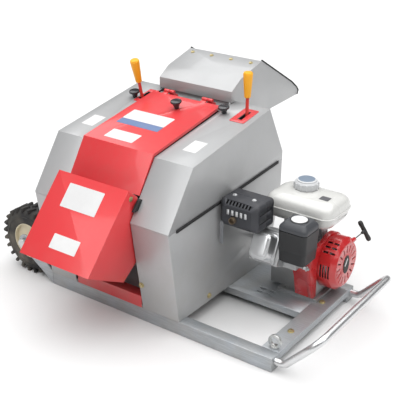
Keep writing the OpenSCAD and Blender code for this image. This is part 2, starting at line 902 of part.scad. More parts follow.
// The space of one knife, on top of the drum
module knife_space(grow = 0) {
    translate([drum_x0 + 6 - grow, -knife_w / 2 - grow, drum_r - knife_h])
        cube([drum_x1 - drum_x0 - 12 + 2 * grow, knife_w + 2 * grow, knife_h + 20]);
}

module cutter_drum() {
    color("dimgray") translate([0, rotor_y, rotor_z]) difference() {
        rod_x(drum_x0, drum_x1, 0, 0, drum_r);
        rod_x(drum_x0 - 1, drum_x1 + 1, 0, 0, shaft_r + 0.02);
        for (a = [0:90:270]) rotate([a, 0, 0]) knife_space(0.2);
    }
}

module drum_knives() {
    color("silver") translate([0, rotor_y, rotor_z]) for (a = [0:90:270]) {
        rotate([a, 0, 0]) translate([drum_x0 + 6, 0, drum_r - knife_h]) rotate([90, 0, 90])
            linear_extrude(drum_x1 - drum_x0 - 12)
            polygon([[-knife_w / 2, 0], [knife_w / 2, 0], [knife_w / 2, knife_h + 6], [-knife_w / 2, knife_h - 4]]);
    }
}

module flange_bearing(x0, x1, y, z, bore, r) {
    difference() {
        union() {
            rod_x(x0, x1, y, z, r);
            rod_x(x0 < mid_x ? x1 - 10 : x0, x0 < mid_x ? x1 : x0 + 10, y, z, r + 14);
        }
        rod_x(x0 - 1, x1 + 1, y, z, bore + run_gap);
    }
}

module shaft_bearings() {
    color("steelblue") {
        flange_bearing(right_x0, right_x0 + bearing_w, rotor_y, rotor_z, shaft_r, shaft_r + 18);
        flange_bearing(left_x1 - bearing_w, left_x1, rotor_y, rotor_z, shaft_r, shaft_r + 18);
        flange_bearing(right_x0, right_x0 + roller_bearing_w, roller_y, roller_z, roller_shaft_r, roller_shaft_r + 14);
        flange_bearing(left_x1 - roller_bearing_w, left_x1, roller_y, roller_z, roller_shaft_r, roller_shaft_r + 14);
    }
}

// Flanged belt pulley about the X axis
module pulley(r, bore) {
    half = pulley_w / 2;
    difference() {
        union() {
            rod_x(-half, half, 0, 0, r - seat);
            for (x = [-half, half - 7]) rod_x(x, x + 7, 0, 0, r + 6);
        }
        rod_x(-half - 1, half + 1, 0, 0, bore);
    }
}

module rotor_pulley() {
    color("gray") translate([pulley_x, rotor_y, rotor_z]) pulley(rotor_pulley_r, shaft_r + 0.02);
}

module engine_pulley() {
    color("gray") translate([pulley_x, crank_y, crank_z]) pulley(engine_pulley_r, crank_r + 0.02);
}

// Ring sector about the X axis, angles measured from +Y towards +Z
module arc_x(at, r0, r1, a0, a1, half) {
    translate([pulley_x - half, at[0], at[1]]) rotate([90, 0, 90]) rotate([0, 0, a0])
        rotate_extrude(angle = a1 - a0) translate([r0, 0]) square([r1 - r0, 2 * half]);
}

module drive_belt() {
    half = pulley_w / 2 - 9;
    rotor_at = [rotor_y, rotor_z];
    crank_at = [crank_y, crank_z];
    wrap = asin((rotor_pulley_r - engine_pulley_r) / centre_gap);
    n_up = belt_side * cos(wrap) - belt_dir * sin(wrap);
    n_low = -belt_side * cos(wrap) - belt_dir * sin(wrap);
    a_up = atan2(n_up[1], n_up[0]);
    a_low = atan2(n_low[1], n_low[0]);
    color("black") {
        arc_x(rotor_at, rotor_pulley_r, rotor_pulley_r + belt_t, a_up, a_low > a_up ? a_low : a_low + 360, half);
        arc_x(crank_at, engine_pulley_r, engine_pulley_r + belt_t, a_low > a_up ? a_low - 360 : a_low, a_up, half);
        for (n = [n_up, n_low]) {
            across(pulley_x - half, pulley_x + half) polygon([
                rotor_at + n * rotor_pulley_r, rotor_at + n * (rotor_pulley_r + belt_t),
                crank_at + n * (engine_pulley_r + belt_t), crank_at + n * engine_pulley_r]);
        }
    }
}

idler_arm_x = pulley_x + pulley_w / 2 + 4;

module idler_arm() {
    color("darkgray") {
        difference() {
            across(idler_arm_x, idler_arm_x + 8) union() {
                translate(idler_at) circle(r = 14);
                translate(idler_pivot) circle(r = 16);
                polygon([idler_at + belt_side * 12, idler_at - belt_side * 12,
                    idler_pivot - belt_side * 14, idler_pivot + belt_side * 14]);
            }
            rod_x(idler_arm_x - 1, idler_arm_x + 9, idler_pivot[0], idler_pivot[1], 8 + run_gap);
        }
        rod_x(pulley_x - pulley_w / 2 + 4, idler_arm_x, idler_at[0], idler_at[1], 8);
    }
}

module idler_pulley() {
    half = pulley_w / 2 - 5;
    color("gray") translate([pulley_x, idler_at[0], idler_at[1]]) difference() {
        rod_x(-half, half, 0, 0, idler_r);
        rod_x(-half - 1, half + 1, 0, 0, 8 + run_gap);
    }
}

module feed_roller() {
    x0 = in_x0 + 12;
    x1 = in_x1 - 12;
    color("slategray") {
        rod_x(left_x1 - roller_bearing_w - 6, right_x0 + roller_bearing_w + 6, roller_y, roller_z, roller_shaft_r);
        rod_x(x0, x1, roller_y, roller_z, roller_r - 6);
        for (a = [0:45:315]) {
            translate([x0, roller_y, roller_z]) rotate([a, 0, 0])
                translate([0, -4, roller_r - 10]) cube([x1 - x0, 8, 10]);
        }
    }
}

// ---- Engine ----

foot_x0 = -205;
foot_x1 = -50;
foot_t = 12;
case_x0 = -250;
case_x1 = -68;
deck = 92;
head_top = 224;

// Frame of the leaning cylinder: z runs out along its axis
module on_cylinder() {
    translate([cylinder_x, crank_y, crank_z]) rotate([90 - cylinder_lean, 0, 0]) children();
}

module crankcase() {
    color("silver") difference() {
        union() {
            difference() {
                box(foot_x0, foot_x1, crank_y - 105, frame_d - 2, rail_h, rail_h + foot_t);
                for (x = [foot_x0 + 20, foot_x1 - 20]) {
                    for (y = [crank_y - 88, frame_d - 22]) {
                        translate([x, y, rail_h - eps]) cylinder(h = foot_t + 2 * eps, r = 5);
                    }
                }
            }
            translate([0, crank_y, crank_z]) across(case_x0, case_x1)
                polygon([[-78, foot_t - crank_h - 1], [58, foot_t - crank_h - 1], [76, -60], [78, 20], [56, 70], [-50, 74], [-84, 20]]);
            on_cylinder() translate([-48, -49, 0]) cube([96, 98, deck]);
            rod_x(case_x0 - 12, case_x0, crank_y, crank_z, 70);
            rod_x(case_x0 - 38, case_x0 - 12, crank_y, crank_z, 32);
            for (x = [-240, -110]) box(x, x + 20, crank_y - 22, crank_y + 22, crank_z + 60, tank_z0);
        }
        rod_x(case_x0 - 60, case_x1 + 5, crank_y, crank_z, crank_r + run_gap);
    }
}

module crankshaft() {
    color("silver") {
        rod_x(pulley_x - pulley_w / 2 - 4, -30, crank_y, crank_z, crank_r);
        rod_x(-60, -34, crank_y, crank_z, 78);
    }
}

module engine_cylinder() {
    fin_pitch = 9;
    color("darkgray") on_cylinder() {
        translate([-46, -46, deck]) cube([92, 92, head_top - deck]);
        for (i = [0:13]) {
            translate([-54, -58, deck + 6 + i * fin_pitch]) cube([108, 116, 3]);
        }
        translate([-54, -58, head_top - 8]) cube([108, 116, 8]);
    }
}

module valve_cover() {
    color("gainsboro") on_cylinder() {
        translate([-42, -52, head_top]) linear_extrude(6) round_rect(84, 104, 14);
        translate([-34, -44, head_top + 6]) linear_extrude(46) round_rect(68, 88, 16);
        translate([-28, -38, head_top + 52]) linear_extrude(8) round_rect(56, 76, 14);
    }
}

module fan_shroud() {
    color("red") translate([0, crank_y, crank_z]) {
        across(case_x1 - 12, -recoil_d - seat) difference() {
            union() {
                circle(r = recoil_r + 5);
                polygon([[-112, foot_t - crank_h + 4], [78, foot_t - crank_h + 4], [96, -20], [20, 96], [-96, 84], [-140, 66],
                    [-146, 20]]);
            }
            polygon([[-90, foot_t - crank_h - 4], [64, foot_t - crank_h - 4], [84, -60], [86, 24], [60, 78], [-54, 82], [-94, 24]]);
        }
        across(-recoil_d - seat - 3, -recoil_d - seat) difference() {
            circle(r = recoil_r);
            circle(r = 84);
        }
        across(-132, case_x1 - 12) bent([[-112, foot_t - crank_h + 4], [-128, -30], [-146, 20]], -3);
        box(case_x1 - 12, case_x1 - 4, -10, 10, 72.8, 84);
        box(case_x1 - 12, case_x1 - 4, 77.8, 88, -20, 0);
    }
}

guide_y = crank_y + 70;
rope_x = -9;
rope_z = crank_z + 66;
grip_y = crank_y + 144;
rope_r = 2;

module recoil_cover() {
    color("red") difference() {
        union() {
            rod_x(-recoil_d, -16, crank_y, crank_z, recoil_r);
            translate([-16, crank_y, crank_z]) rotate([0, 90, 0]) cylinder(h = 16, r1 = recoil_r, r2 = recoil_r - 16);
            rod_y(crank_y + 30, guide_y, rope_x, rope_z, 8);
        }
        rod_x(-recoil_d - 1, -18, crank_y, crank_z, recoil_r - 4);
        translate([-18.01, crank_y, crank_z]) rotate([0, 90, 0]) cylinder(h = 15, r1 = recoil_r - 4, r2 = recoil_r - 19);
        for (a = [0:22.5:337.5]) {
            translate([-6, crank_y, crank_z]) rotate([a, 0, 0]) translate([0, -2.5, 44]) cube([8, 5, 26]);
        }
        rod_y(crank_y, guide_y + 1, rope_x, rope_z, rope_r + seat);
    }
}

module pull_grip() {
    color("black") {
        rod_y(grip_y - 16, grip_y, rope_x, rope_z, 6);
        translate([rope_x, grip_y + 6, rope_z]) rotate([0, 145, 0]) {
            translate([0, 0, -40]) cylinder(h = 80, r = 9);
        }
    }
}

module starter_rope() {
    color("black") rod_y(guide_y - 6, grip_y - 16, rope_x, rope_z, rope_r);
}

neck_r = 30;

module fuel_tank() {
    color("white") {
        translate([tank_x1 - tank_l + 8, tank_y0 + 8, tank_z0])
            linear_extrude(tank_h * 0.5) round_rect(tank_l - 16, tank_d - 16, 26);
        translate([tank_x1 - tank_l, tank_y0, tank_z0 + tank_h * 0.5])
            linear_extrude(tank_h * 0.36) round_rect(tank_l, tank_d, 30);
        translate([tank_x1 - tank_l + 12, tank_y0 + 12, tank_z0 + tank_h * 0.86])
            linear_extrude(tank_h * 0.14) round_rect(tank_l - 24, tank_d - 24, 26);
        translate([cap_x, cap_y, tank_z0 + tank_h]) cylinder(h = 14, r = neck_r);
    }
}

module fuel_cap() {
    color("lightsteelblue") translate([cap_x, cap_y, tank_z0 + tank_h + seat]) difference() {
        union() {
            cylinder(h = 26, r = 40);
            for (a = [0:30:330]) rotate([0, 0, a]) translate([39, 0, 3]) cylinder(h = 21, r = 5);
            translate([0, 0, 26]) cylinder(h = 7, r = 34);
        }
        translate([0, 0, -1]) cylinder(h = 15.5 + 1, r = neck_r + 0.3);
    }
}

module air_cleaner() {
    split = cleaner_z1 - 34;
    color("black") {
        translate([cleaner_x0, cleaner_y0, cleaner_z0]) linear_extrude(split - cleaner_z0) round_rect(cleaner_w, cleaner_d, 12);
        translate([cleaner_x0, cleaner_y0, split + seat]) linear_extrude(20) round_rect(cleaner_w, cleaner_d, 12);
        translate([cleaner_x0 + 9, cleaner_y0 + 9, split + seat + 20]) linear_extrude(13) round_rect(cleaner_w - 18, cleaner_d - 18, 12);
    }
}

muffler_x0 = right_x1 + 7;
muffler_x1 = cylinder_x;
muffler_y0 = crank_y - 277;
muffler_y1 = crank_y - 162;
muffler_z0 = crank_z + 158;
muffler_z1 = crank_z + 258;

module muffler() {
    bevel = 18;
    color("darkslategray") {
        deep(muffler_y0 + bevel, muffler_y1) polygon([
            [muffler_x0 + 8, muffler_z0], [muffler_x1 - 8, muffler_z0], [muffler_x1, muffler_z0 + 10],
            [muffler_x1, muffler_z1 - bevel], [muffler_x1 - 8, muffler_z1], [muffler_x0 + bevel, muffler_z1],
            [muffler_x0, muffler_z1 - bevel], [muffler_x0, muffler_z0 + 10]]);
        deep(muffler_y0, muffler_y0 + bevel) polygon([
            [muffler_x0 + bevel, muffler_z0 + 6], [muffler_x1 - 14, muffler_z0 + 6], [muffler_x1 - 6, muffler_z0 + 14],
            [muffler_x1 - 6, muffler_z1 - bevel - 6], [muffler_x0 + bevel, muffler_z1 - bevel - 6]]);
        on_cylinder() translate([-50, 58, 186]) cube([40, 8, 32]);
        translate([cylinder_x - 30, crank_y - 169, crank_z + 148]) cylinder(h = muffler_z0 + 1 - crank_z - 148, r = 11);
        rod_y(muffler_y0 - 12, muffler_y0, muffler_x0 + 62, muffler_z0 + 42, 12);
    }
}

module carburettor() {
    color("gray") {
        box(-146, -96, crank_y - 182, crank_y - 142, crank_z + 24, cleaner_z0);
        rod_x(-96, -50, throttle_y, throttle_z, 4);
    }
}

throttle_y = crank_y - 178;
throttle_z = crank_z + 42;

module throttle_lever() {
    tip = [-26, 16];
    color("silver") difference() {
        translate([0, throttle_y, throttle_z]) across(-60, -57) union() {
            circle(r = 9);
            polygon([[-3, -5], [5, 3], tip + [3, 4], tip + [-3, -4]]);
        }
        rod_x(-62, -55, throttle_y, throttle_z, 4 + run_gap);
    }
}

place() side_rails();
place() crossmembers();
place() engine_plate();
place() axle_brackets();
place() lift_handle();
place() lifting_eye();
place() hex_bolts();
place() wheel_axle();
place() near_tyre();
place() near_rim();
place() far_tyre();
place() far_rim();
place() right_housing();
place() left_housing();
place() right_cover();
place() left_cover();
place() rubber_strips();
place() base_beam();
place() right_side_plate();
place() left_side_plate();
place() drum_shell();
place() feed_chute();
place() discharge_chute();
place() discharge_hood();
place() centre_cover();
place() cover_hinges();
place() feed_hopper();
place() mouth_trim();
place() right_knob();
place() centre_knob();
place() left_knob();
place() clutch_lever();
place() clutch_grip();
place() feed_lever();
place() feed_grip();
place() slot_plates();
place() rotor_shaft();
place() cutter_drum();
place() drum_knives();
place() shaft_bearings();
place() rotor_pulley();
place() engine_pulley();
place() drive_belt();
place() idler_arm();
place() idler_pulley();
place() feed_roller();
place() crankcase();
place() engine_cylinder();
place() valve_cover();
place() fan_shroud();
place() recoil_cover();
place() crankshaft();
place() pull_grip();
place() starter_rope();
place() fuel_tank();
place() fuel_cap();
place() air_cleaner();
place() muffler();
place() carburettor();
place() throttle_lever();
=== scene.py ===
"""Looks of an engine-driven wood chipper on a two-wheeled ground frame.

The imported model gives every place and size. Each sub-assembly is a class that builds its own meshes
and finishes.
"""
import itertools
import json
import logging
import math
from dataclasses import dataclass, field
from enum import Enum

import bmesh
import bpy
from mathutils import Matrix, Vector
from mathutils.bvhtree import BVHTree


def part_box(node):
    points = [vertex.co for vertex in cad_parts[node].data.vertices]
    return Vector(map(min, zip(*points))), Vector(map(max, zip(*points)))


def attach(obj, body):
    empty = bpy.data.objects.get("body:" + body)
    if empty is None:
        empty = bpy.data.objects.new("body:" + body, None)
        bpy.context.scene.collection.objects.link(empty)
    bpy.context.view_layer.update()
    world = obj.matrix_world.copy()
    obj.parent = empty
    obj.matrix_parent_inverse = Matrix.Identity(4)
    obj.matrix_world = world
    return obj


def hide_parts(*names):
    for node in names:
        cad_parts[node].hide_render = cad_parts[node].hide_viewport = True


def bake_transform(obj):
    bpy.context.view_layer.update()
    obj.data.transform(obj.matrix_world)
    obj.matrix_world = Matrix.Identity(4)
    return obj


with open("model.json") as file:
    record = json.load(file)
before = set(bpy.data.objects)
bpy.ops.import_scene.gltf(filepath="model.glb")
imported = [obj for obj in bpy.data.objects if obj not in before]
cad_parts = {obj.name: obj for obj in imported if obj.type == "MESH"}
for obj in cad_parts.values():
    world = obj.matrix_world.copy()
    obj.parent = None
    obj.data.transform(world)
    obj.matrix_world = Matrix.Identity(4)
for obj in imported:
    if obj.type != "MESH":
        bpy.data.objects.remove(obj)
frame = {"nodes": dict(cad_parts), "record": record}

log = logging.getLogger("chipper")
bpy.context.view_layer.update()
NODES: dict[str, bpy.types.Object] = frame["nodes"]
BODY_OF: dict[str, str] = {
    node: body for body, members in frame["record"]["behaviour"]["bodies"].items() for node in members
}
SLOT_OF: dict[str, str] = {part["node"]: part["material_slot"] for part in frame["record"]["subparts"]}
MM = 0.001


# ---------------------------------------------------------------- finishes


class Surface(Enum):
    """How a finish catches the light."""

    PAINT = "paint"
    BRUSHED = "brushed metal"
    CAST = "cast metal"
    PLASTIC = "plastic"
    RUBBER = "rubber"
    WOVEN = "woven cord"


def new_group(name: str, inputs: dict[str, float], outputs: tuple[str, ...]) -> bpy.types.NodeTree:
    """Starts a shader node group with number inputs and number outputs.

    Args:
        name: Name of the group.
        inputs: Input names with their default values.
        outputs: Output names.

    Returns:
        The empty group with its sockets and its two end nodes.
    """
    group = bpy.data.node_groups.new(name, "ShaderNodeTree")
    for label, value in inputs.items():
        group.interface.new_socket(name=label, in_out="INPUT",
                                   socket_type="NodeSocketFloat").default_value = value
    for label in outputs:
        group.interface.new_socket(name=label, in_out="OUTPUT", socket_type="NodeSocketFloat")
    group.nodes.new("NodeGroupInput").name = "In"
    group.nodes.new("NodeGroupOutput").name = "Out"
    return group


def math_node(tree: bpy.types.NodeTree, operation: str, first: object,
              second: object) -> bpy.types.NodeSocket:
    """Adds a Math node.

    Args:
        tree: The tree that gets the node.
        operation: Blender's name of the operation.
        first: A socket or a number.
        second: A socket or a number.

    Returns:
        The node's output socket.
    """
    node = tree.nodes.new("ShaderNodeMath")
    node.operation = operation
    node.use_clamp = operation in ("MULTIPLY", "SUBTRACT")
    for socket, value in zip(node.inputs, (first, second)):
        if isinstance(value, (int, float)):
            socket.default_value = value
        else:
            tree.links.new(value, socket)
    return node.outputs[0]


def ramp(tree: bpy.types.NodeTree, value: bpy.types.NodeSocket, low: float,
         high: float) -> bpy.types.NodeSocket:
    """Stretches a value so that low reads 0 and high reads 1.

    Args:
        tree: The tree that gets the node.
        value: Socket to read.
        low: Value that becomes 0.
        high: Value that becomes 1.

    Returns:
        The clamped result.
    """
    node = tree.nodes.new("ShaderNodeMapRange")
    tree.links.new(value, node.inputs["Value"])
    node.inputs["From Min"].default_value = low
    node.inputs["From Max"].default_value = high
    return node.outputs["Result"]


def noise(tree: bpy.types.NodeTree, scale: object, detail: float,
          stretch: tuple[float, float, float] = (1, 1, 1)
          ) -> bpy.types.NodeSocket:
    """Adds noise on the piece's own coordinates.

    Args:
        tree: The tree that gets the nodes.
        scale: A socket or a number.
        detail: Octaves of the noise.
        stretch: Scale along each axis.

    Returns:
        The noise value.
    """
    coordinate = tree.nodes.new("ShaderNodeTexCoord")
    mapping = tree.nodes.new("ShaderNodeMapping")
    mapping.inputs["Scale"].default_value = stretch
    tree.links.new(coordinate.outputs["Object"], mapping.inputs["Vector"])
    node = tree.nodes.new("ShaderNodeTexNoise")
    node.inputs["Detail"].default_value = detail
    tree.links.new(mapping.outputs["Vector"], node.inputs["Vector"])
    if isinstance(scale, (int, float)):
        node.inputs["Scale"].default_value = scale
    else:
        tree.links.new(scale, node.inputs["Scale"])
    return node.outputs[0]


def build_grain_group() -> bpy.types.NodeTree:
    """Fine grain and broad mottling of a surface."""
    group = new_group("surface_grain", {"Scale": 400.0, "Mottle Scale": 9.0}, ("Height", "Mottle"))
    start, end = group.nodes["In"], group.nodes["Out"]
    fine = noise(group, start.outputs["Scale"], 4.0)
    broad = noise(group, start.outputs["Mottle Scale"], 3.0)
    group.links.new(fine, end.inputs["Height"])
    group.links.new(ramp(group, broad, 0.3, 0.7), end.inputs["Mottle"])
    return group


def build_brush_group() -> bpy.types.NodeTree:
    """Long fine streaks left by rolling or turning."""
    group = new_group("brush_streaks", {"Scale": 60.0}, ("Height", "Streak"))
    start, end = group.nodes["In"], group.nodes["Out"]
    streak = noise(group, start.outputs["Scale"], 5.0, (0.35, 9.0, 9.0))
    group.links.new(streak, end.inputs["Height"])
    group.links.new(ramp(group, streak, 0.3, 0.7), end.inputs["Streak"])
    return group


def build_wear_group() -> bpy.types.NodeTree:
    """Mask of rubbed edges and a few chips."""
    group = new_group("edge_wear", {"Amount": 0.4}, ("Mask",))
    start, end = group.nodes["In"], group.nodes["Out"]
    geometry = group.nodes.new("ShaderNodeNewGeometry")
    edge = ramp(group, geometry.outputs["Pointiness"], 0.53, 0.62)
    broken = ramp(group, noise(group, 38.0, 5.0), 0.45, 0.68)
    group.links.new(math_node(group, "MULTIPLY", math_node(group, "MULTIPLY", edge, broken),
                              start.outputs["Amount"]),
                    end.inputs["Mask"])
    return group


def build_dust_group() -> bpy.types.NodeTree:
    """Mask of dust that settles low down."""
    group = new_group("dust_film", {"Amount": 0.2, "Height": 0.35}, ("Mask",))
    start, end = group.nodes["In"], group.nodes["Out"]
    coordinate = group.nodes.new("ShaderNodeTexCoord")
    split = group.nodes.new("ShaderNodeSeparateXYZ")
    group.links.new(coordinate.outputs["Object"], split.inputs[0])
    low = math_node(group, "SUBTRACT", 1.0,
                    math_node(group, "DIVIDE", split.outputs["Z"], start.outputs["Height"]))
    cloud = ramp(group, noise(group, 14.0, 6.0), 0.35, 0.75)
    group.links.new(math_node(group, "MULTIPLY", math_node(group, "MULTIPLY", low, cloud),
                              start.outputs["Amount"]),
                    end.inputs["Mask"])
    return group


COAT_ROUGHNESS = 0.08
GLOSS_SPREAD = 0.12
DUST_ROUGHNESS = 0.4
BUMP_STRENGTH = 0.6
STREAK_SHARE = 0.12
MOTTLE_SCALE = 7.0
GRAIN_SHARE = {Surface.PAINT: 1.0, Surface.CAST: 0.8, Surface.PLASTIC: 2.2, Surface.RUBBER: 1.6,
               Surface.WOVEN: 3.0}
GRAIN = build_grain_group()
BRUSH = build_brush_group()
WEAR = build_wear_group()
DUST = build_dust_group()
DUST_COLOUR = (0.42, 0.38, 0.31)


@dataclass(frozen=True)
class Finish:
    """One finish: its colour, its gloss, its grain and how it ages.

    Args:
        slot: The record's material slot.
        colour: Main colour.
        surface: How it catches the light.
        roughness: Roughness before streaks and dust.
        metallic: 1 for bare metal.
        coat: Clear coat weight.
        mottle: Share by which broad patches darken.
        grain: Scale of the fine grain.
        relief: Depth of the fine grain, in millimetres.
        wear: Amount of rubbed edges.
        worn: Colour of the rubbed edges.
        dust: Amount of dust low down.
    """

    slot: str
    colour: tuple[float, float, float]
    surface: Surface = Surface.PAINT
    roughness: float = 0.35
    metallic: float = 0.0
    coat: float = 0.0
    mottle: float = 0.06
    grain: float = 500.0
    relief: float = 0.02
    wear: float = 0.3
    worn: tuple[float, float, float] = (0.35, 0.34, 0.33)
    dust: float = 0.15

    def material(self, name: str = "") -> bpy.types.Material:
        """Builds the finish's material once and reuses it.

        Args:
            name: Name of the material, or the slot's own.

        Returns:
            The material.
        """
        label = name or self.slot
        if label in bpy.data.materials and bpy.data.materials[label].get("built"):
            return bpy.data.materials[label]
        material = bpy.data.materials.new(label)
        material.name = label
        material["built"] = True
        material.use_nodes = True
        tree = material.node_tree
        shader = tree.nodes["Principled BSDF"]
        shader.inputs["Coat Weight"].default_value = self.coat
        shader.inputs["Coat Roughness"].default_value = COAT_ROUGHNESS
        shader.inputs["Metallic"].default_value = self.metallic
        height, patch = self.relief_sockets(tree)
        colour = self.blend(tree, self.colour, tuple(c * (1 - self.mottle * 2) for c in self.colour), patch)
        wear = self.group(tree, WEAR, {"Amount": self.wear})
        colour = self.blend(tree, colour, self.worn, wear.outputs["Mask"])
        dust = self.group(tree, DUST, {"Amount": self.dust})
        colour = self.blend(tree, colour, DUST_COLOUR, dust.outputs["Mask"])
        tree.links.new(colour, shader.inputs["Base Color"])
        rough = math_node(tree, "MULTIPLY", patch, GLOSS_SPREAD)
        rough = math_node(tree, "ADD", rough, self.roughness)
        dulled = math_node(tree, "MULTIPLY", dust.outputs["Mask"], DUST_ROUGHNESS)
        tree.links.new(math_node(tree, "ADD", rough, dulled), shader.inputs["Roughness"])
        bump = tree.nodes.new("ShaderNodeBump")
        bump.inputs["Distance"].default_value = self.relief * MM
        bump.inputs["Strength"].default_value = BUMP_STRENGTH
        tree.links.new(height, bump.inputs["Height"])
        tree.links.new(bump.outputs["Normal"], shader.inputs["Normal"])
        return material

    def relief_sockets(self, tree: bpy.types.NodeTree) -> tuple[bpy.types.NodeSocket, bpy.types.NodeSocket]:
        """Height and patch mask that suit the surface.

        Args:
            tree: The material's tree.

        Returns:
            The height socket and the patch socket.
        """
        if self.surface is Surface.BRUSHED:
            node = self.group(tree, BRUSH, {"Scale": self.grain * STREAK_SHARE})
            return node.outputs["Height"], node.outputs["Streak"]
        scale = self.grain * GRAIN_SHARE[self.surface]
        node = self.group(tree, GRAIN, {"Scale": scale, "Mottle Scale": MOTTLE_SCALE})
        return node.outputs["Height"], node.outputs["Mottle"]

    @staticmethod
    def group(tree: bpy.types.NodeTree, group: bpy.types.NodeTree,
              values: dict[str, float]) -> bpy.types.Node:
        """Places a shared node group in the material.

        Args:
            tree: The material's tree.
            group: The shared group.
            values: Its input values by name.

        Returns:
            The group node.
        """
        node = tree.nodes.new("ShaderNodeGroup")
        node.node_tree = group
        for label, value in values.items():
            node.inputs[label].default_value = value
        return node

    @staticmethod
    def blend(tree: bpy.types.NodeTree, base: object, over: object, mask: bpy.types.NodeSocket
              ) -> bpy.types.NodeSocket:
        """Mixes two colours by a mask.

        Args:
            tree: The material's tree.
            base: Colour or socket where the mask is 0.
            over: Colour or socket where the mask is 1.
            mask: The mask.

        Returns:
            The mixed colour.
        """
        node = tree.nodes.new("ShaderNodeMix")
        node.data_type = "RGBA"
        tree.links.new(mask, node.inputs[0])
        for socket, value in ((node.inputs[6], base), (node.inputs[7], over)):
            if isinstance(value, tuple):
                socket.default_value = (*value, 1.0)
            else:
                tree.links.new(value, socket)
        return node.outputs[2]


BARE = (0.62, 0.61, 0.58)
FINISHES: dict[str, Finish] = {
    finish.slot: finish
    for finish in (
        Finish("galvanised", (0.47, 0.50, 0.53), Surface.BRUSHED, 0.42, 0.75, mottle=0.12, relief=0.03,
               wear=0.2, worn=BARE, dust=0.35),
        Finish("bright_tube", (0.72, 0.73, 0.74), Surface.BRUSHED, 0.24, 0.9, mottle=0.05, wear=0.1,
               worn=BARE),
        Finish("zinc", (0.62, 0.63, 0.62), Surface.BRUSHED, 0.32, 0.95, mottle=0.1, worn=BARE, dust=0.25),
        Finish("yellow_zinc", (0.66, 0.56, 0.30), Surface.BRUSHED, 0.32, 0.9, mottle=0.15, worn=BARE),
        Finish("silver_paint", (0.42, 0.425, 0.43), Surface.PAINT, 0.36, 0.25, coat=0.3, mottle=0.02,
               relief=0.012, wear=0.25, dust=0.3),
        Finish("chamber_paint", (0.22, 0.225, 0.23), Surface.PAINT, 0.45, 0.2, coat=0.1, mottle=0.08,
               wear=0.4, worn=BARE, dust=0.4),
        Finish("red_paint", (0.68, 0.042, 0.048), Surface.PAINT, 0.30, 0.0, coat=0.45, mottle=0.02,
               relief=0.012, wear=0.2, worn=(0.55, 0.08, 0.07), dust=0.2),
        Finish("lever_red", (0.62, 0.03, 0.02), Surface.PAINT, 0.35, 0.0, coat=0.3, wear=0.45, worn=BARE),
        Finish("grip_yellow", (0.92, 0.42, 0.01), Surface.PLASTIC, 0.42, mottle=0.04, relief=0.05, wear=0.15,
               worn=(0.95, 0.65, 0.2)),
        Finish("knob_black", (0.018, 0.018, 0.022), Surface.PLASTIC, 0.22, coat=0.3, wear=0.2,
               worn=(0.12, 0.12, 0.12)),
        Finish("black_rubber", (0.016, 0.016, 0.017), Surface.RUBBER, 0.7, relief=0.06,
               worn=(0.06, 0.06, 0.06)),
        Finish("tyre_rubber", (0.022, 0.022, 0.023), Surface.RUBBER, 0.78, mottle=0.2, relief=0.12, wear=0.5,
               worn=(0.08, 0.075, 0.07), dust=0.5),
        Finish("rim_cream", (0.74, 0.66, 0.46), Surface.PAINT, 0.34, coat=0.3, mottle=0.06, wear=0.4,
               dust=0.5),
        Finish("machined_steel", (0.55, 0.55, 0.56), Surface.BRUSHED, 0.3, 1.0, mottle=0.1, worn=BARE),
        Finish("cast_iron", (0.17, 0.175, 0.18), Surface.CAST, 0.6, 0.6, mottle=0.2, grain=260.0, relief=0.3,
               worn=BARE, dust=0.3),
        Finish("engine_alloy", (0.52, 0.53, 0.54), Surface.CAST, 0.46, 0.85, mottle=0.14, grain=420.0,
               relief=0.12, worn=(0.7, 0.7, 0.7), dust=0.2),
        Finish("valve_alloy", (0.74, 0.75, 0.76), Surface.CAST, 0.32, 0.9, mottle=0.06, grain=500.0,
               relief=0.05, worn=(0.8, 0.8, 0.8), dust=0.1),
        Finish("engine_red", (0.52, 0.010, 0.014), Surface.PAINT, 0.2, coat=0.6, mottle=0.02, wear=0.2,
               worn=(0.5, 0.1, 0.1), dust=0.1),
        Finish("tank_white", (0.62, 0.62, 0.60), Surface.PAINT, 0.18, coat=0.6, mottle=0.02, relief=0.01,
               wear=0.1, worn=(0.6, 0.6, 0.58), dust=0.0),
        Finish("cap_plastic", (0.58, 0.59, 0.60), Surface.PLASTIC, 0.34, mottle=0.04, relief=0.02, wear=0.1),
        Finish("cleaner_black", (0.012, 0.0125, 0.014), Surface.PLASTIC, 0.42, relief=0.06, wear=0.25,
               worn=(0.10, 0.10, 0.10), dust=0.0),
        Finish("muffler_black", (0.055, 0.057, 0.065), Surface.PAINT, 0.48, 0.35, mottle=0.12, relief=0.04,
               wear=0.5, worn=(0.22, 0.2, 0.19), dust=0.0),
        Finish("grip_black", (0.014, 0.014, 0.015), Surface.PLASTIC, 0.5, relief=0.08),
        Finish("rope_black", (0.03, 0.03, 0.03), Surface.WOVEN, 0.85, relief=0.2, wear=0.0),
    )
}
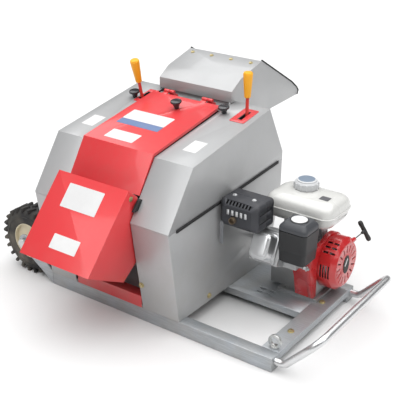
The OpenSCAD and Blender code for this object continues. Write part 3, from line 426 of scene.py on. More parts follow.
EXTRA: dict[str, Finish] = {
    # Near-black painted shade for the cut faces inside slots, standing in for the shade in the recesses.
    "slot_painted_shade": Finish("muffler_black", (0.006, 0.006, 0.007), Surface.RUBBER, 0.9, wear=0.0, dust=0.0),
    "plate_white": Finish("tank_white", (0.70, 0.70, 0.70), Surface.PLASTIC, 0.35, relief=0.01, wear=0.1,
                          dust=0.0),
    "plate_blue": Finish("cap_plastic", (0.13, 0.20, 0.37), Surface.PLASTIC, 0.35, relief=0.01, wear=0.1,
                         dust=0.0),
    "scorched": Finish("muffler_black", (0.20, 0.15, 0.10), Surface.CAST, 0.6, 0.7, mottle=0.3, wear=0.2),
    "cap_blue": Finish("cap_plastic", (0.20, 0.25, 0.32), Surface.PLASTIC, 0.3, relief=0.02, wear=0.1,
                       dust=0.0),
    "plate_dark": Finish("cap_plastic", (0.10, 0.10, 0.11), Surface.PLASTIC, 0.4, relief=0.01, wear=0.1,
                         dust=0.0),
    "lid_grey": Finish("cleaner_black", (0.05, 0.053, 0.06), Surface.PLASTIC, 0.4, relief=0.06, wear=0.25,
                       worn=(0.2, 0.2, 0.2), dust=0.0),
    "louvre_grey": Finish("muffler_black", (0.30, 0.31, 0.33), Surface.PAINT, 0.4, 0.6, wear=0.3, dust=0.0),
    "lead_black": Finish("rope_black", (0.015, 0.015, 0.016), Surface.RUBBER, 0.5, relief=0.03, wear=0.0),
}


# ---------------------------------------------------------------- mesh helpers

SMOOTH_ANGLE = 35.0
MERGE_DISTANCE = 1e-5
FLAT_ANGLE = 0.4


def keep(name: str, mesh: bpy.types.Mesh, body: str, finish: Finish, label: str = "",
         stands_for: tuple[str, ...] = ()
         ) -> bpy.types.Object:
    """Puts a finished mesh in the scene as one piece.

    Args:
        name: Name of the piece.
        mesh: Its mesh, already in place.
        body: Body that it moves with.
        finish: Its finish.
        label: Name of the material where it isn't the slot's own.
        stands_for: CAD nodes that it stands for.

    Returns:
        The new object.
    """
    piece = bpy.data.objects.new(name, mesh)
    mesh.name = name
    bpy.context.scene.collection.objects.link(piece)
    # A cut mesh keeps its near-black painted slot shade in the second material slot.
    if len(mesh.materials) == 2:
        mesh.materials[0] = finish.material(label)
    else:
        mesh.materials.clear()
        mesh.materials.append(finish.material(label))
    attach(piece, body)
    if stands_for:
        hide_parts(*stands_for)
    log.info("piece %s on %s: %d faces", name, body, len(mesh.polygons))
    return piece


def to_mesh(bm: bmesh.types.BMesh, smooth: float = SMOOTH_ANGLE) -> bpy.types.Mesh:
    """Closes a bmesh off as a mesh with outward faces.

    Args:
        bm: The bmesh, which is freed.
        smooth: Largest angle, in degrees, that is shaded as one surface.

    Returns:
        The mesh.
    """
    bmesh.ops.remove_doubles(bm, verts=bm.verts, dist=1e-6)
    bmesh.ops.recalc_face_normals(bm, faces=bm.faces)
    mesh = bpy.data.meshes.new("piece")
    bm.to_mesh(mesh)
    bm.free()
    mesh.shade_smooth()
    mesh.set_sharp_from_angle(angle=math.radians(smooth))
    return mesh


def through_modifier(mesh: bpy.types.Mesh, kind: str, **settings: object) -> bpy.types.Mesh:
    """Runs one modifier over a mesh and returns the result as plain mesh.

    Args:
        mesh: The mesh to work on.
        kind: Blender's name of the modifier.
        **settings: Its settings.

    Returns:
        The new mesh.
    """
    carrier = bpy.data.objects.new("carrier", mesh)
    bpy.context.scene.collection.objects.link(carrier)
    modifier = carrier.modifiers.new("work", kind)
    for label, value in settings.items():
        setattr(modifier, label, value)
    return baked(carrier)


def baked(carrier: bpy.types.Object) -> bpy.types.Mesh:
    """Takes the evaluated mesh of an object and removes the object.

    Args:
        carrier: Object with its modifiers.

    Returns:
        The plain mesh.
    """
    graph = bpy.context.evaluated_depsgraph_get()
    mesh = bpy.data.meshes.new_from_object(carrier.evaluated_get(graph))
    carrier.modifiers.clear()
    bpy.data.objects.remove(carrier)
    return mesh


def rounded(mesh: bpy.types.Mesh, width: float, segments: int = 2, angle: float = 28.0) -> bpy.types.Mesh:
    """Rounds every edge sharper than an angle.

    Args:
        mesh: The mesh.
        width: Width of the rounding, in metres.
        segments: Facets across the rounding.
        angle: Edges flatter than this, in degrees, are left.

    Returns:
        The rounded mesh.
    """
    mesh.shade_smooth()
    return through_modifier(mesh, "BEVEL", width=width, segments=segments, limit_method="ANGLE",
                            angle_limit=math.radians(angle), harden_normals=True, use_clamp_overlap=True)


def copied(node: str) -> bpy.types.Mesh:
    """Copies a CAD node's mesh and joins its triangles.

    Args:
        node: Name of the CAD node.

    Returns:
        The closed copy.
    """
    bm = bmesh.new()
    bm.from_mesh(NODES[node].data)
    bmesh.ops.remove_doubles(bm, verts=bm.verts, dist=MERGE_DISTANCE)
    bmesh.ops.dissolve_limit(bm, angle_limit=math.radians(FLAT_ANGLE), verts=bm.verts, edges=bm.edges)
    mesh = bpy.data.meshes.new(node)
    bm.to_mesh(mesh)
    bm.free()
    return mesh


def block(low: Vector, high: Vector) -> bpy.types.Mesh:
    """A rectangular block between two corners, to be rounded or cut further.

    Args:
        low: Lowest corner.
        high: Highest corner.

    Returns:
        The mesh.
    """
    bm = bmesh.new()
    size = high - low
    bmesh.ops.create_cube(bm, size=1.0,
                          matrix=Matrix.Translation((low + high) / 2) @ Matrix.Diagonal((*size, 1.0)))
    return to_mesh(bm)


def lathe(profile: list[tuple[float, float]], place: Matrix, steps: int = 48,
          smooth: float = SMOOTH_ANGLE) -> bpy.types.Mesh:
    """Turns an outline of (radius, height) about the Z axis of place.

    Args:
        profile: The outline, from the bottom of the axis to the top.
        place: Where the axis stands.
        steps: Facets round the axis.
        smooth: Largest angle, in degrees, that is shaded as one surface.

    Returns:
        The closed mesh.
    """
    bm = bmesh.new()
    rings = []
    for radius, height in profile:
        if radius < 1e-7:
            rings.append([bm.verts.new(place @ Vector((0, 0, height)))])
            continue
        rings.append([
            bm.verts.new(place @ Vector((radius * math.cos(a), radius * math.sin(a), height)))
            for a in (2 * math.pi * i / steps for i in range(steps))
        ])
    closed = profile[0] == profile[-1]
    pairs = zip(rings, rings[1:])
    for lower, upper in pairs:
        for i in range(steps):
            j = (i + 1) % steps
            corners = [lower[i % len(lower)], lower[j % len(lower)], upper[j % len(upper)],
                       upper[i % len(upper)]]
            unique = list(dict.fromkeys(corners))
            if len(unique) > 2:
                bm.faces.new(unique)
    if not closed:
        for ring in (rings[0], rings[-1]):
            if len(ring) > 1:
                bm.faces.new(ring)
    return to_mesh(bm, smooth)


def plate(outline: list[tuple[float, float]], place: Matrix, thickness: float) -> bpy.types.Mesh:
    """A flat outline given thickness along the Z axis of place.

    Args:
        outline: Points of the outline, in order.
        place: Where the plate lies.
        thickness: Its thickness.

    Returns:
        The mesh.
    """
    bm = bmesh.new()
    low = [bm.verts.new(place @ Vector((x, y, 0))) for x, y in outline]
    high = [bm.verts.new(place @ Vector((x, y, thickness))) for x, y in outline]
    bm.faces.new(low)
    bm.faces.new(high)
    for i in range(len(outline)):
        j = (i + 1) % len(outline)
        bm.faces.new((low[i], low[j], high[j], high[i]))
    return to_mesh(bm)


def round_outline(width: float, depth: float, radius: float, steps: int = 5) -> list[tuple[float, float]]:
    """Outline of a rectangle with round corners, about its centre.

    Args:
        width: Size along x.
        depth: Size along y.
        radius: Corner radius.
        steps: Facets in each corner.

    Returns:
        The outline's points.
    """
    points = []
    for corner, (sx, sy) in enumerate(((1, 1), (-1, 1), (-1, -1), (1, -1))):
        cx, cy = sx * (width / 2 - radius), sy * (depth / 2 - radius)
        for i in range(steps + 1):
            a = math.pi / 2 * (corner + i / steps)
            points.append((cx + radius * math.cos(a), cy + radius * math.sin(a)))
    return points


def joined(meshes: list[bpy.types.Mesh]) -> bpy.types.Mesh:
    """Joins several meshes into one without moving them.

    Args:
        meshes: The meshes.

    Returns:
        One mesh that holds them all.
    """
    bm = bmesh.new()
    for mesh in meshes:
        bm.from_mesh(mesh)
    result = bpy.data.meshes.new("joined")
    bm.to_mesh(result)
    bm.free()
    result.shade_smooth()
    result.set_sharp_from_angle(angle=math.radians(SMOOTH_ANGLE))
    return result


def facing(at: Vector, normal: Vector, up: Vector = Vector((0, 0, 1))) -> Matrix:
    """A place whose Z axis points along a normal.

    Args:
        at: Its origin.
        normal: Direction of its Z axis.
        up: Direction that its Y axis leans towards.

    Returns:
        The place as a matrix.
    """
    z = normal.normalized()
    x = up.cross(z)
    x = Vector((1, 0, 0)) if x.length < 1e-4 else x.normalized()
    y = z.cross(x)
    turn = Matrix((x, y, z)).transposed().to_4x4()
    return Matrix.Translation(at) @ turn


# ---------------------------------------------------------------- geometry node trees


class Repeat(Enum):
    """What a geometry node tree repeats its shape along."""

    ROW = "row"
    RING = "ring"


def tree_with(name: str, inputs: dict[str, str]) -> bpy.types.NodeTree:
    """Starts a geometry node tree with named inputs.

    Args:
        name: Name of the tree.
        inputs: Input names with their socket types.

    Returns:
        The tree with its two end nodes.
    """
    tree = bpy.data.node_groups.new(name, "GeometryNodeTree")
    tree.interface.new_socket(name="Geometry", in_out="INPUT", socket_type="NodeSocketGeometry")
    for label, kind in inputs.items():
        tree.interface.new_socket(name=label, in_out="INPUT", socket_type="NodeSocket" + kind)
    tree.interface.new_socket(name="Geometry", in_out="OUTPUT", socket_type="NodeSocketGeometry")
    tree.nodes.new("NodeGroupInput").name = "In"
    tree.nodes.new("NodeGroupOutput").name = "Out"
    return tree


def finish_tree(tree: bpy.types.NodeTree, shape: bpy.types.NodeSocket) -> None:
    """Ends a tree in Realize Instances and Set Material.

    Args:
        tree: The tree.
        shape: Socket of the shape to end with.
    """
    real = tree.nodes.new("GeometryNodeRealizeInstances")
    dress = tree.nodes.new("GeometryNodeSetMaterial")
    tree.links.new(shape, real.inputs["Geometry"])
    tree.links.new(real.outputs["Geometry"], dress.inputs["Geometry"])
    tree.links.new(tree.nodes["In"].outputs["Material"], dress.inputs["Material"])
    tree.links.new(dress.outputs["Geometry"], tree.nodes["Out"].inputs["Geometry"])


def build_row_tree() -> bpy.types.NodeTree:
    """Tree that repeats a shape along a straight row."""
    tree = tree_with("row_of", {"Count": "Int", "Step": "Vector", "Material": "Material"})
    start = tree.nodes["In"]
    line = tree.nodes.new("GeometryNodeMeshLine")
    line.mode = "OFFSET"
    place = tree.nodes.new("GeometryNodeInstanceOnPoints")
    tree.links.new(start.outputs["Count"], line.inputs["Count"])
    tree.links.new(start.outputs["Step"], line.inputs["Offset"])
    tree.links.new(line.outputs["Mesh"], place.inputs["Points"])
    tree.links.new(start.outputs["Geometry"], place.inputs["Instance"])
    finish_tree(tree, place.outputs["Instances"])
    return tree


def build_ring_tree() -> bpy.types.NodeTree:
    """Tree that repeats a shape round the Z axis of a place."""
    tree = tree_with("ring_of",
                     {"Count": "Int", "Turn": "Vector", "Centre": "Vector", "Material": "Material"})
    start = tree.nodes["In"]
    points = tree.nodes.new("GeometryNodeMeshLine")
    points.mode = "OFFSET"
    points.inputs["Offset"].default_value = (0, 0, 0)
    index = tree.nodes.new("GeometryNodeInputIndex")
    angle = math_node(tree, "DIVIDE", index.outputs[0], start.outputs["Count"])
    full = tree.nodes.new("ShaderNodeMath")
    full.operation = "MULTIPLY"
    full.inputs[1].default_value = 2 * math.pi
    spin = tree.nodes.new("ShaderNodeCombineXYZ")
    place = tree.nodes.new("GeometryNodeInstanceOnPoints")
    real = tree.nodes.new("GeometryNodeRealizeInstances")
    move = tree.nodes.new("GeometryNodeTransform")
    tree.links.new(start.outputs["Count"], points.inputs["Count"])
    tree.links.new(angle, full.inputs[0])
    tree.links.new(full.outputs[0], spin.inputs["Z"])
    tree.links.new(points.outputs["Mesh"], place.inputs["Points"])
    tree.links.new(start.outputs["Geometry"], place.inputs["Instance"])
    tree.links.new(spin.outputs[0], place.inputs["Rotation"])
    tree.links.new(place.outputs["Instances"], real.inputs["Geometry"])
    tree.links.new(real.outputs["Geometry"], move.inputs["Geometry"])
    tree.links.new(start.outputs["Turn"], move.inputs["Rotation"])
    tree.links.new(start.outputs["Centre"], move.inputs["Translation"])
    finish_tree(tree, move.outputs["Geometry"])
    return tree


def build_tube_tree() -> bpy.types.NodeTree:
    """Tree that makes a bent tube from a line of points, with round bends."""
    tree = tree_with("bent_tube", {"Radius": "Float", "Material": "Material"})
    start = tree.nodes["In"]
    curve = tree.nodes.new("GeometryNodeMeshToCurve")
    fillet = tree.nodes.new("GeometryNodeFilletCurve")
    if hasattr(fillet, "mode"):
        fillet.mode = "POLY"
    fillet.inputs["Count"].default_value = 12
    fillet.inputs["Limit Radius"].default_value = True
    bend = tree.nodes.new("GeometryNodeInputNamedAttribute")
    bend.data_type = "FLOAT"
    bend.inputs["Name"].default_value = "bend"
    ring = tree.nodes.new("GeometryNodeCurvePrimitiveCircle")
    ring.inputs["Resolution"].default_value = 28
    skin = tree.nodes.new("GeometryNodeCurveToMesh")
    skin.inputs["Fill Caps"].default_value = True
    tree.links.new(start.outputs["Geometry"], curve.inputs["Mesh"])
    tree.links.new(curve.outputs["Curve"], fillet.inputs["Curve"])
    tree.links.new(bend.outputs["Attribute"], fillet.inputs["Radius"])
    tree.links.new(start.outputs["Radius"], ring.inputs["Radius"])
    tree.links.new(fillet.outputs["Curve"], skin.inputs["Curve"])
    tree.links.new(ring.outputs["Curve"], skin.inputs["Profile Curve"])
    finish_tree(tree, skin.outputs["Mesh"])
    return tree


ROW_TREE = build_row_tree()
RING_TREE = build_ring_tree()
TUBE_TREE = build_tube_tree()


def grown(tree: bpy.types.NodeTree, unit: bpy.types.Mesh, finish: Finish, values: dict[str, object],
          label: str = ""
          ) -> bpy.types.Mesh:
    """Runs a geometry node tree over a unit shape.

    Args:
        tree: The tree.
        unit: Mesh that goes in.
        finish: Finish of the result.
        values: The tree's other inputs by name.
        label: Name of the material where it isn't the slot's own.

    Returns:
        The plain mesh that comes out.
    """
    carrier = bpy.data.objects.new("carrier", unit)
    bpy.context.scene.collection.objects.link(carrier)
    modifier = carrier.modifiers.new("tree", "NODES")
    modifier.node_group = tree
    for item in tree.interface.items_tree:
        if item.in_out == "INPUT" and item.name in values:
            modifier[item.identifier] = values[item.name]
        if item.in_out == "INPUT" and item.name == "Material":
            modifier[item.identifier] = finish.material(label)
    mesh = baked(carrier)
    mesh.shade_smooth()
    mesh.set_sharp_from_angle(angle=math.radians(SMOOTH_ANGLE))
    return mesh


def repeated(kind: Repeat, unit: bpy.types.Mesh, finish: Finish, count: int, step: Vector = Vector(),
             centre: Vector = Vector(), turn: tuple[float, float, float] = (0, 0, 0), label: str = ""
             ) -> bpy.types.Mesh:
    """Repeats a unit shape in a row or a ring.

    Args:
        kind: Row or ring.
        unit: The shape, for a ring placed about the Z axis.
        finish: Finish of the result.
        count: Number of copies.
        step: Step of a row.
        centre: Centre of a ring.
        turn: Rotation of a ring, in radians.
        label: Name of the material where it isn't the slot's own.

    Returns:
        The mesh.
    """
    if kind is Repeat.ROW:
        return grown(ROW_TREE, unit, finish, {"Count": count, "Step": tuple(step)}, label)
    return grown(RING_TREE, unit, finish, {"Count": count, "Turn": turn, "Centre": tuple(centre)}, label)


def tube(points: list[Vector], radius: float, bends: list[float], finish: Finish,
         label: str = "") -> bpy.types.Mesh:
    """A round tube along a line of points.

    Args:
        points: The line's corners.
        radius: Radius of the tube.
        bends: Radius of the bend at each corner, in millimetres.
        finish: Its finish.
        label: Name of the material where it isn't the slot's own.

    Returns:
        The mesh.
    """
    line = bpy.data.meshes.new("line")
    line.from_pydata([tuple(p) for p in points], [(i, i + 1) for i in range(len(points) - 1)], [])
    line.attributes.new("bend", "FLOAT", "POINT").data.foreach_set("value", [b * MM for b in bends])
    return grown(TUBE_TREE, line, finish, {"Radius": radius}, label)


def loft(sections: list[tuple[float, float, float, float]], place: Matrix,
         smooth: float = SMOOTH_ANGLE) -> bpy.types.Mesh:
    """Skins a stack of round-cornered rectangles.

    Args:
        sections: Width, depth, corner radius and height of each one, in millimetres, from the bottom up.
        place: Where the stack stands, with Z along its height.
        smooth: Largest angle, in degrees, that is shaded as one surface.

    Returns:
        The closed mesh.
    """
    bm = bmesh.new()
    rings = [
        [bm.verts.new(place @ Vector((x, y, height * MM))) for x, y in
         round_outline(width * MM, depth * MM, radius * MM, 8)]
        for width, depth, radius, height in sections
    ]
    for lower, upper in zip(rings, rings[1:]):
        for i in range(len(lower)):
            j = (i + 1) % len(lower)
            bm.faces.new((lower[i], lower[j], upper[j], upper[i]))
    bm.faces.new(rings[0])
    bm.faces.new(rings[-1])
    return to_mesh(bm, smooth)


def pierced(mesh: bpy.types.Mesh, cutters: list[bpy.types.Mesh]) -> bpy.types.Mesh:
    """Cuts slots out of a mesh and gives the cut faces a second, near-black material: painted shade inside
    the slots.

    Args:
        mesh: The mesh.
        cutters: Closed shapes to take away.

    Returns:
        The cut mesh, with two material slots.
    """
    # Painted shade: the slot walls get a near-black material.
    dark = EXTRA["slot_painted_shade"].material("slot_painted_shade")
    tool = joined(cutters)
    for target, index in ((mesh, 0), (tool, 1)):
        target.materials.clear()
        target.materials.append(None)
        target.materials.append(dark)
        target.polygons.foreach_set("material_index", [index] * len(target.polygons))
    cutter = bpy.data.objects.new("cutter", tool)
    bpy.context.scene.collection.objects.link(cutter)
    result = through_modifier(mesh, "BOOLEAN", object=cutter, operation="DIFFERENCE", solver="EXACT",
                              material_mode="INDEX")
    bpy.data.objects.remove(cutter)
    return result


# ---------------------------------------------------------------- sub-assemblies

RAILS_LOW, RAILS_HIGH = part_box("side_rails")
ORIGIN = Vector((RAILS_HIGH.x, RAILS_LOW.y, RAILS_LOW.z))
RIGHT, UP = Vector((1, 0, 0)), Vector((0, 0, 1))
FRONT, BACK = Vector((0, -1, 0)), Vector((0, 1, 0))


def spot(x: float, y: float, z: float) -> Vector:
    """A point in millimetres from the rails' lift end, their outlet side and the ground."""
    return ORIGIN + Vector((x, y, z)) * MM


def centre(node: str) -> Vector:
    """The middle of a CAD node's box."""
    low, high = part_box(node)
    return (low + high) / 2


def ease(node: str, width: float, label: str = "") -> bpy.types.Object:
    """Replaces a CAD node by the same shape with rounded edges.

    Args:
        node: Name of the CAD node.
        width: Width of the rounding, in millimetres.
        label: Name of an extra finish where it isn't the slot's own.

    Returns:
        The piece.
    """
    finish = EXTRA[label] if label else FINISHES[SLOT_OF[node]]
    return keep(node + "_finished", rounded(copied(node), width * MM), BODY_OF[node], finish, label, (node,))


def add(name: str, mesh: bpy.types.Mesh, like: str, label: str = "", stands_for: tuple[str, ...] = ()
        ) -> bpy.types.Object:
    """Adds a piece that rides with a CAD node and takes its finish or an extra one.

    Args:
        name: Name of the piece.
        mesh: Its mesh.
        like: CAD node that it belongs to.
        label: Name of an extra finish.
        stands_for: CAD nodes that it stands for.

    Returns:
        The piece.
    """
    finish = EXTRA[label] if label else FINISHES[SLOT_OF[like]]
    return keep(name, mesh, BODY_OF[like], finish, label, stands_for)


@dataclass
class Assembly:
    """A sub-assembly: nodes that keep their shape with rounded edges, and its own details."""

    edges: dict[str, float] = field(default_factory=dict)

    def build(self) -> None:
        """Builds the rounded nodes and then the details."""
        for node, width in self.edges.items():
            ease(node, width)
        self.details()
        log.info("built %s", type(self).__name__)

    def details(self) -> None:
        """Builds what the nodes alone don't show."""


@dataclass
class GroundFrame(Assembly):
    """Galvanised rails, cross members, engine plate and axle."""

    edges: dict[str, float] = field(default_factory=lambda: {
        "side_rails": 2.5, "crossmembers": 1.5, "engine_plate": 1.0, "axle_brackets": 1.2, "wheel_axle": 1.0,
        "lifting_eye": 2.0, "hex_bolts": 0.8})
    tube_radius: float = 12.5
    reach: float = 146.0
    height: float = 152.0
    flat: float = 34.0
    leg_z: float = 32.0
    leg_ys: tuple[float, float] = (22.5, 540.5)
    low_bend: float = 34.0
    top_bend: float = 52.0

    def details(self) -> None:
        """Bends the lift handle from one tube."""
        near, far = self.leg_ys
        route = [spot(0.1, near, self.leg_z), spot(self.flat, near, self.leg_z),
                 spot(self.reach, near, self.height), spot(self.reach, far, self.height),
                 spot(self.flat, far, self.leg_z), spot(0.1, far, self.leg_z)]
        bends = [0, self.low_bend, self.top_bend, self.top_bend, self.low_bend, 0]
        handle = tube(route, self.tube_radius * MM, bends, FINISHES["bright_tube"])
        add("lift_handle_tube", handle, "lift_handle", stands_for=("lift_handle",))


@dataclass
class Wheel(Assembly):
    """One wheel: a carcass, two rings of tread lugs and a pressed rim."""

    side: str = "near"
    radius: float = 130.0
    carcass: float = 121.0
    half_width: float = 40.0
    bead: float = 68.6
    lugs: int = 24

    def details(self) -> None:
        """Turns the carcass, grows the lugs and rounds the rim."""
        tyre = self.side + "_tyre"
        middle = centre(tyre)
        turn = Matrix.Rotation(math.pi / 2, 4, "X")
        half, crown = self.half_width, self.carcass
        profile = [(self.bead, -half + 4), (self.bead + 6, -half + 1), (88, -half), (104, -half + 2),
                   (crown - 7, -half + 8), (crown - 1, -half + 18), (crown, 0), (crown - 1, half - 18),
                   (crown - 7, half - 8), (104, half - 2), (88, half), (self.bead + 6, half - 1),
                   (self.bead, half - 4), (self.bead, -half + 4)]
        body = lathe([(r * MM, h * MM) for r, h in profile], Matrix.Translation(middle) @ turn, 96, 50)
        rings = [body]
        for sign in (-1, 1):
            rings.append(repeated(Repeat.RING, self.lug(sign), FINISHES["tyre_rubber"], self.lugs,
                                  centre=middle, turn=(math.pi / 2, 0, 0)))
        for sign in (-1, 1):
            groove = Matrix.Translation(middle) @ turn @ Matrix.Translation((0, 0, sign * (half - 0.6) * MM))
            rib = [(94 * MM, -1.2 * MM), (97 * MM, -1.2 * MM), (97 * MM, 1.2 * MM), (94 * MM, 1.2 * MM),
                   (94 * MM, -1.2 * MM)]
            rings.append(lathe(rib, groove, 96))
        add(self.side + "_tyre_treaded", joined(rings), tyre, stands_for=(tyre,))
        ease(self.side + "_rim", 1.2)

    def lug(self, sign: int) -> bpy.types.Mesh:
        """One slanted lug that wraps over the shoulder.

        Args:
            sign: Side of the tread, -1 or 1.

        Returns:
            The lug's mesh about the Z axis.
        """
        shift = math.pi / self.lugs if sign > 0 else 0
        outline = [(-7, 2), (5, 2), (12, 30), (11, 37), (1, 37), (-1, 29)]
        base = self.carcass - 9
        place = Matrix.Rotation(shift, 4, "Z") @ facing(Vector((base * MM, 0, 0)), RIGHT)
        lug = plate([(x * MM, y * sign * MM) for x, y in outline], place, (self.radius - base - 0.9) * MM)
        return rounded(lug, 1.6 * MM, 2)


@dataclass
class Housings(Assembly):
    """Two sheet boxes with their lift-off covers on either side of the cutting chamber."""

    edges: dict[str, float] = field(default_factory=lambda: {
        "right_housing": 3.0, "left_housing": 3.0, "right_cover": 3.5, "left_cover": 3.5,
        "right_side_plate": 0.8,
        "left_side_plate": 0.8, "drum_shell": 0.8, "feed_chute": 0.8, "discharge_chute": 1.0,
        "slot_plates": 1.0, "rubber_strips": 2.5})
    plate_size: tuple[float, float] = (52.0, 74.0)
    plate_y: float = 190.0
    plate_xs: dict[str, float] = field(default_factory=lambda: {"right": -433.0, "left": -876.0})

    def details(self) -> None:
        """Lays a blank plate on each cover."""
        for side, x in self.plate_xs.items():
            lie_plate(f"{side}_cover_plate", side + "_cover", x, self.plate_y, self.plate_size)


def lie_plate(name: str, node: str, x: float, y: float, size: tuple[float, float], label: str = "plate_white",
              proud: float = 0.7) -> bpy.types.Object:
    """Lays a blank plate flat on the sloping top of a node.

    Args:
        name: Name of the plate.
        node: CAD node that carries it.
        x: Its middle across the machine, in millimetres.
        y: Its middle along the slope, in millimetres.
        size: Its width and depth, in millimetres.
        label: Its finish.
        proud: How far it stands proud, in millimetres.

    Returns:
        The piece.
    """
    above = spot(x, y, 1000)
    mesh = NODES[node].data
    surface = BVHTree.FromPolygons([v.co for v in mesh.vertices], [p.vertices for p in mesh.polygons])
    point, normal, _, _ = surface.ray_cast(above, -UP)
    place = facing(point, normal, BACK)
    return lie_at(name, node, place, size, label, proud)


def lie_at(name: str, node: str, place: Matrix, size: tuple[float, float], label: str = "plate_white",
           proud: float = 0.7) -> bpy.types.Object:
    """Makes a blank plate with round corners and a rounded edge.

    Args:
        name: Name of the plate.
        node: CAD node that carries it.
        place: Where it lies, with Z outwards.
        size: Its width and depth, in millimetres.
        label: Its finish.
        proud: How far it stands proud, in millimetres.

    Returns:
        The piece.
    """
    outline = round_outline(size[0] * MM, size[1] * MM, 3 * MM)
    sunk = place @ Matrix.Translation((0, 0, -0.3 * MM))
    return add(name, rounded(plate(outline, sunk, (proud + 0.3) * MM), 0.25 * MM, 1), node, label)


@dataclass
class CentreSection(Assembly):
    """Red hood over the outlet and red cover over the cutting chamber."""

    edges: dict[str, float] = field(default_factory=lambda: {
        "discharge_hood": 2.2, "centre_cover": 2.0, "base_beam": 2.0, "cover_hinges": 1.4})
    hood_top: tuple[float, float] = (-56.0, 504.0)
    hood_foot: tuple[float, float] = (-259.0, 280.0)
    cover_plates: tuple[tuple[str, float, float, tuple[float, float], str], ...] = (
        ("cover_plate_large", -686.5, 265, (181, 67), "plate_white"),
        ("cover_plate_band", -686.5, 214, (181, 35), "plate_blue"),
        ("cover_plate_small", -687, 126, (122, 56), "plate_white"))
    hood_plates: tuple[tuple[str, float, float, tuple[float, float]], ...] = (
        ("hood_plate_upper", -668, 0.24, (150, 84)),
        ("hood_plate_lower", -655, 0.755, (112, 50)))

    def details(self) -> None:
        """Lays the blank plates on the hood and the cover."""
        for name, x, y, size, label in self.cover_plates:
            lie_plate(name, "centre_cover", x, y, size, label)
        slope = Vector((0, self.hood_foot[0] - self.hood_top[0], self.hood_foot[1] - self.hood_top[1]))
        normal = Vector((0, slope.z, -slope.y))
        for name, x, share, size in self.hood_plates:
            at = spot(x, self.hood_top[0] + slope.y * share, self.hood_top[1] + slope.z * share)
            lie_at(name, "discharge_hood", facing(at, normal, -slope), size)


@dataclass
class FeedHopper(Assembly):
    """Sheet hopper with its edging and the bolts in its front sheet."""

    edges: dict[str, float] = field(default_factory=lambda: {"feed_hopper": 1.6, "mouth_trim": 2.5})


@dataclass
class Controls(Assembly):
    """Levers, grips and screw-down knobs."""

    edges: dict[str, float] = field(default_factory=lambda: {
        "clutch_lever": 1.2, "feed_lever": 1.2, "clutch_grip": 5.0, "feed_grip": 5.0, "centre_knob": 2.5,
        "right_knob": 2.5, "left_knob": 2.5})


@dataclass
class CuttingDrive(Assembly):
    """Drum, roller, shafts, pulleys and belt inside the machine."""

    edges: dict[str, float] = field(default_factory=lambda: {
        "rotor_shaft": 0.8, "cutter_drum": 1.5, "drum_knives": 0.5, "rotor_pulley": 1.0, "crankshaft": 0.8,
        "engine_pulley": 1.0, "idler_arm": 0.8, "idler_pulley": 1.0, "feed_roller": 1.0,
        "shaft_bearings": 1.5, "drive_belt": 1.0})


@dataclass
class Engine(Assembly):
    """Crankcase, finned cylinder, valve cover, carburettor and throttle."""

    edges: dict[str, float] = field(default_factory=lambda: {
        "crankcase": 3.0, "engine_cylinder": 0.8, "valve_cover": 4.0, "carburettor": 3.0,
        "throttle_lever": 0.4})
    lean: float = 25.0
    case_x: float = -200.0
    case_y: float = 482.0
    case_z: float = 172.0
    bolt_reach: float = 226.0
    bolt_half: tuple[float, float] = (36.0, 46.0)
    bolt_radius: float = 6.5
    bolt_height: float = 6.0

    def details(self) -> None:
        """Puts the bolts round the valve cover's flange."""
        axis = Vector((0, -math.cos(math.radians(self.lean)), math.sin(math.radians(self.lean))))
        middle = spot(self.case_x, self.case_y, self.case_z) + axis * self.bolt_reach * MM
        across = axis.cross(RIGHT).normalized()
        bolts = []
        for sx, sy in itertools.product((-1, 1), repeat=2):
            at = middle + (RIGHT * sx * self.bolt_half[0] + across * sy * self.bolt_half[1]) * MM
            bolts.append(hex_head(at, axis, self.bolt_radius, self.bolt_height))
        add("valve_cover_bolts", joined(bolts), "valve_cover")


def hex_head(at: Vector, axis: Vector, radius: float, height: float) -> bpy.types.Mesh:
    """A hexagon bolt head on its flange.

    Args:
        at: Foot of the head.
        axis: Direction that it points in.
        radius: Radius over its corners, in millimetres.
        height: Height of the head, in millimetres.

    Returns:
        The mesh.
    """
    place = facing(at, axis, Vector((0.3, 0.2, 1)))
    head = lathe([(0, 0), (radius * MM, 0), (radius * MM, height * 0.8 * MM),
                  (radius * 0.8 * MM, height * MM), (0, height * MM)], place, 6)
    flange = lathe([(0, 0), (radius * 1.35 * MM, 0), (radius * 1.3 * MM, 1.4 * MM), (0, 1.4 * MM)], place, 24)
    return joined([head, flange])


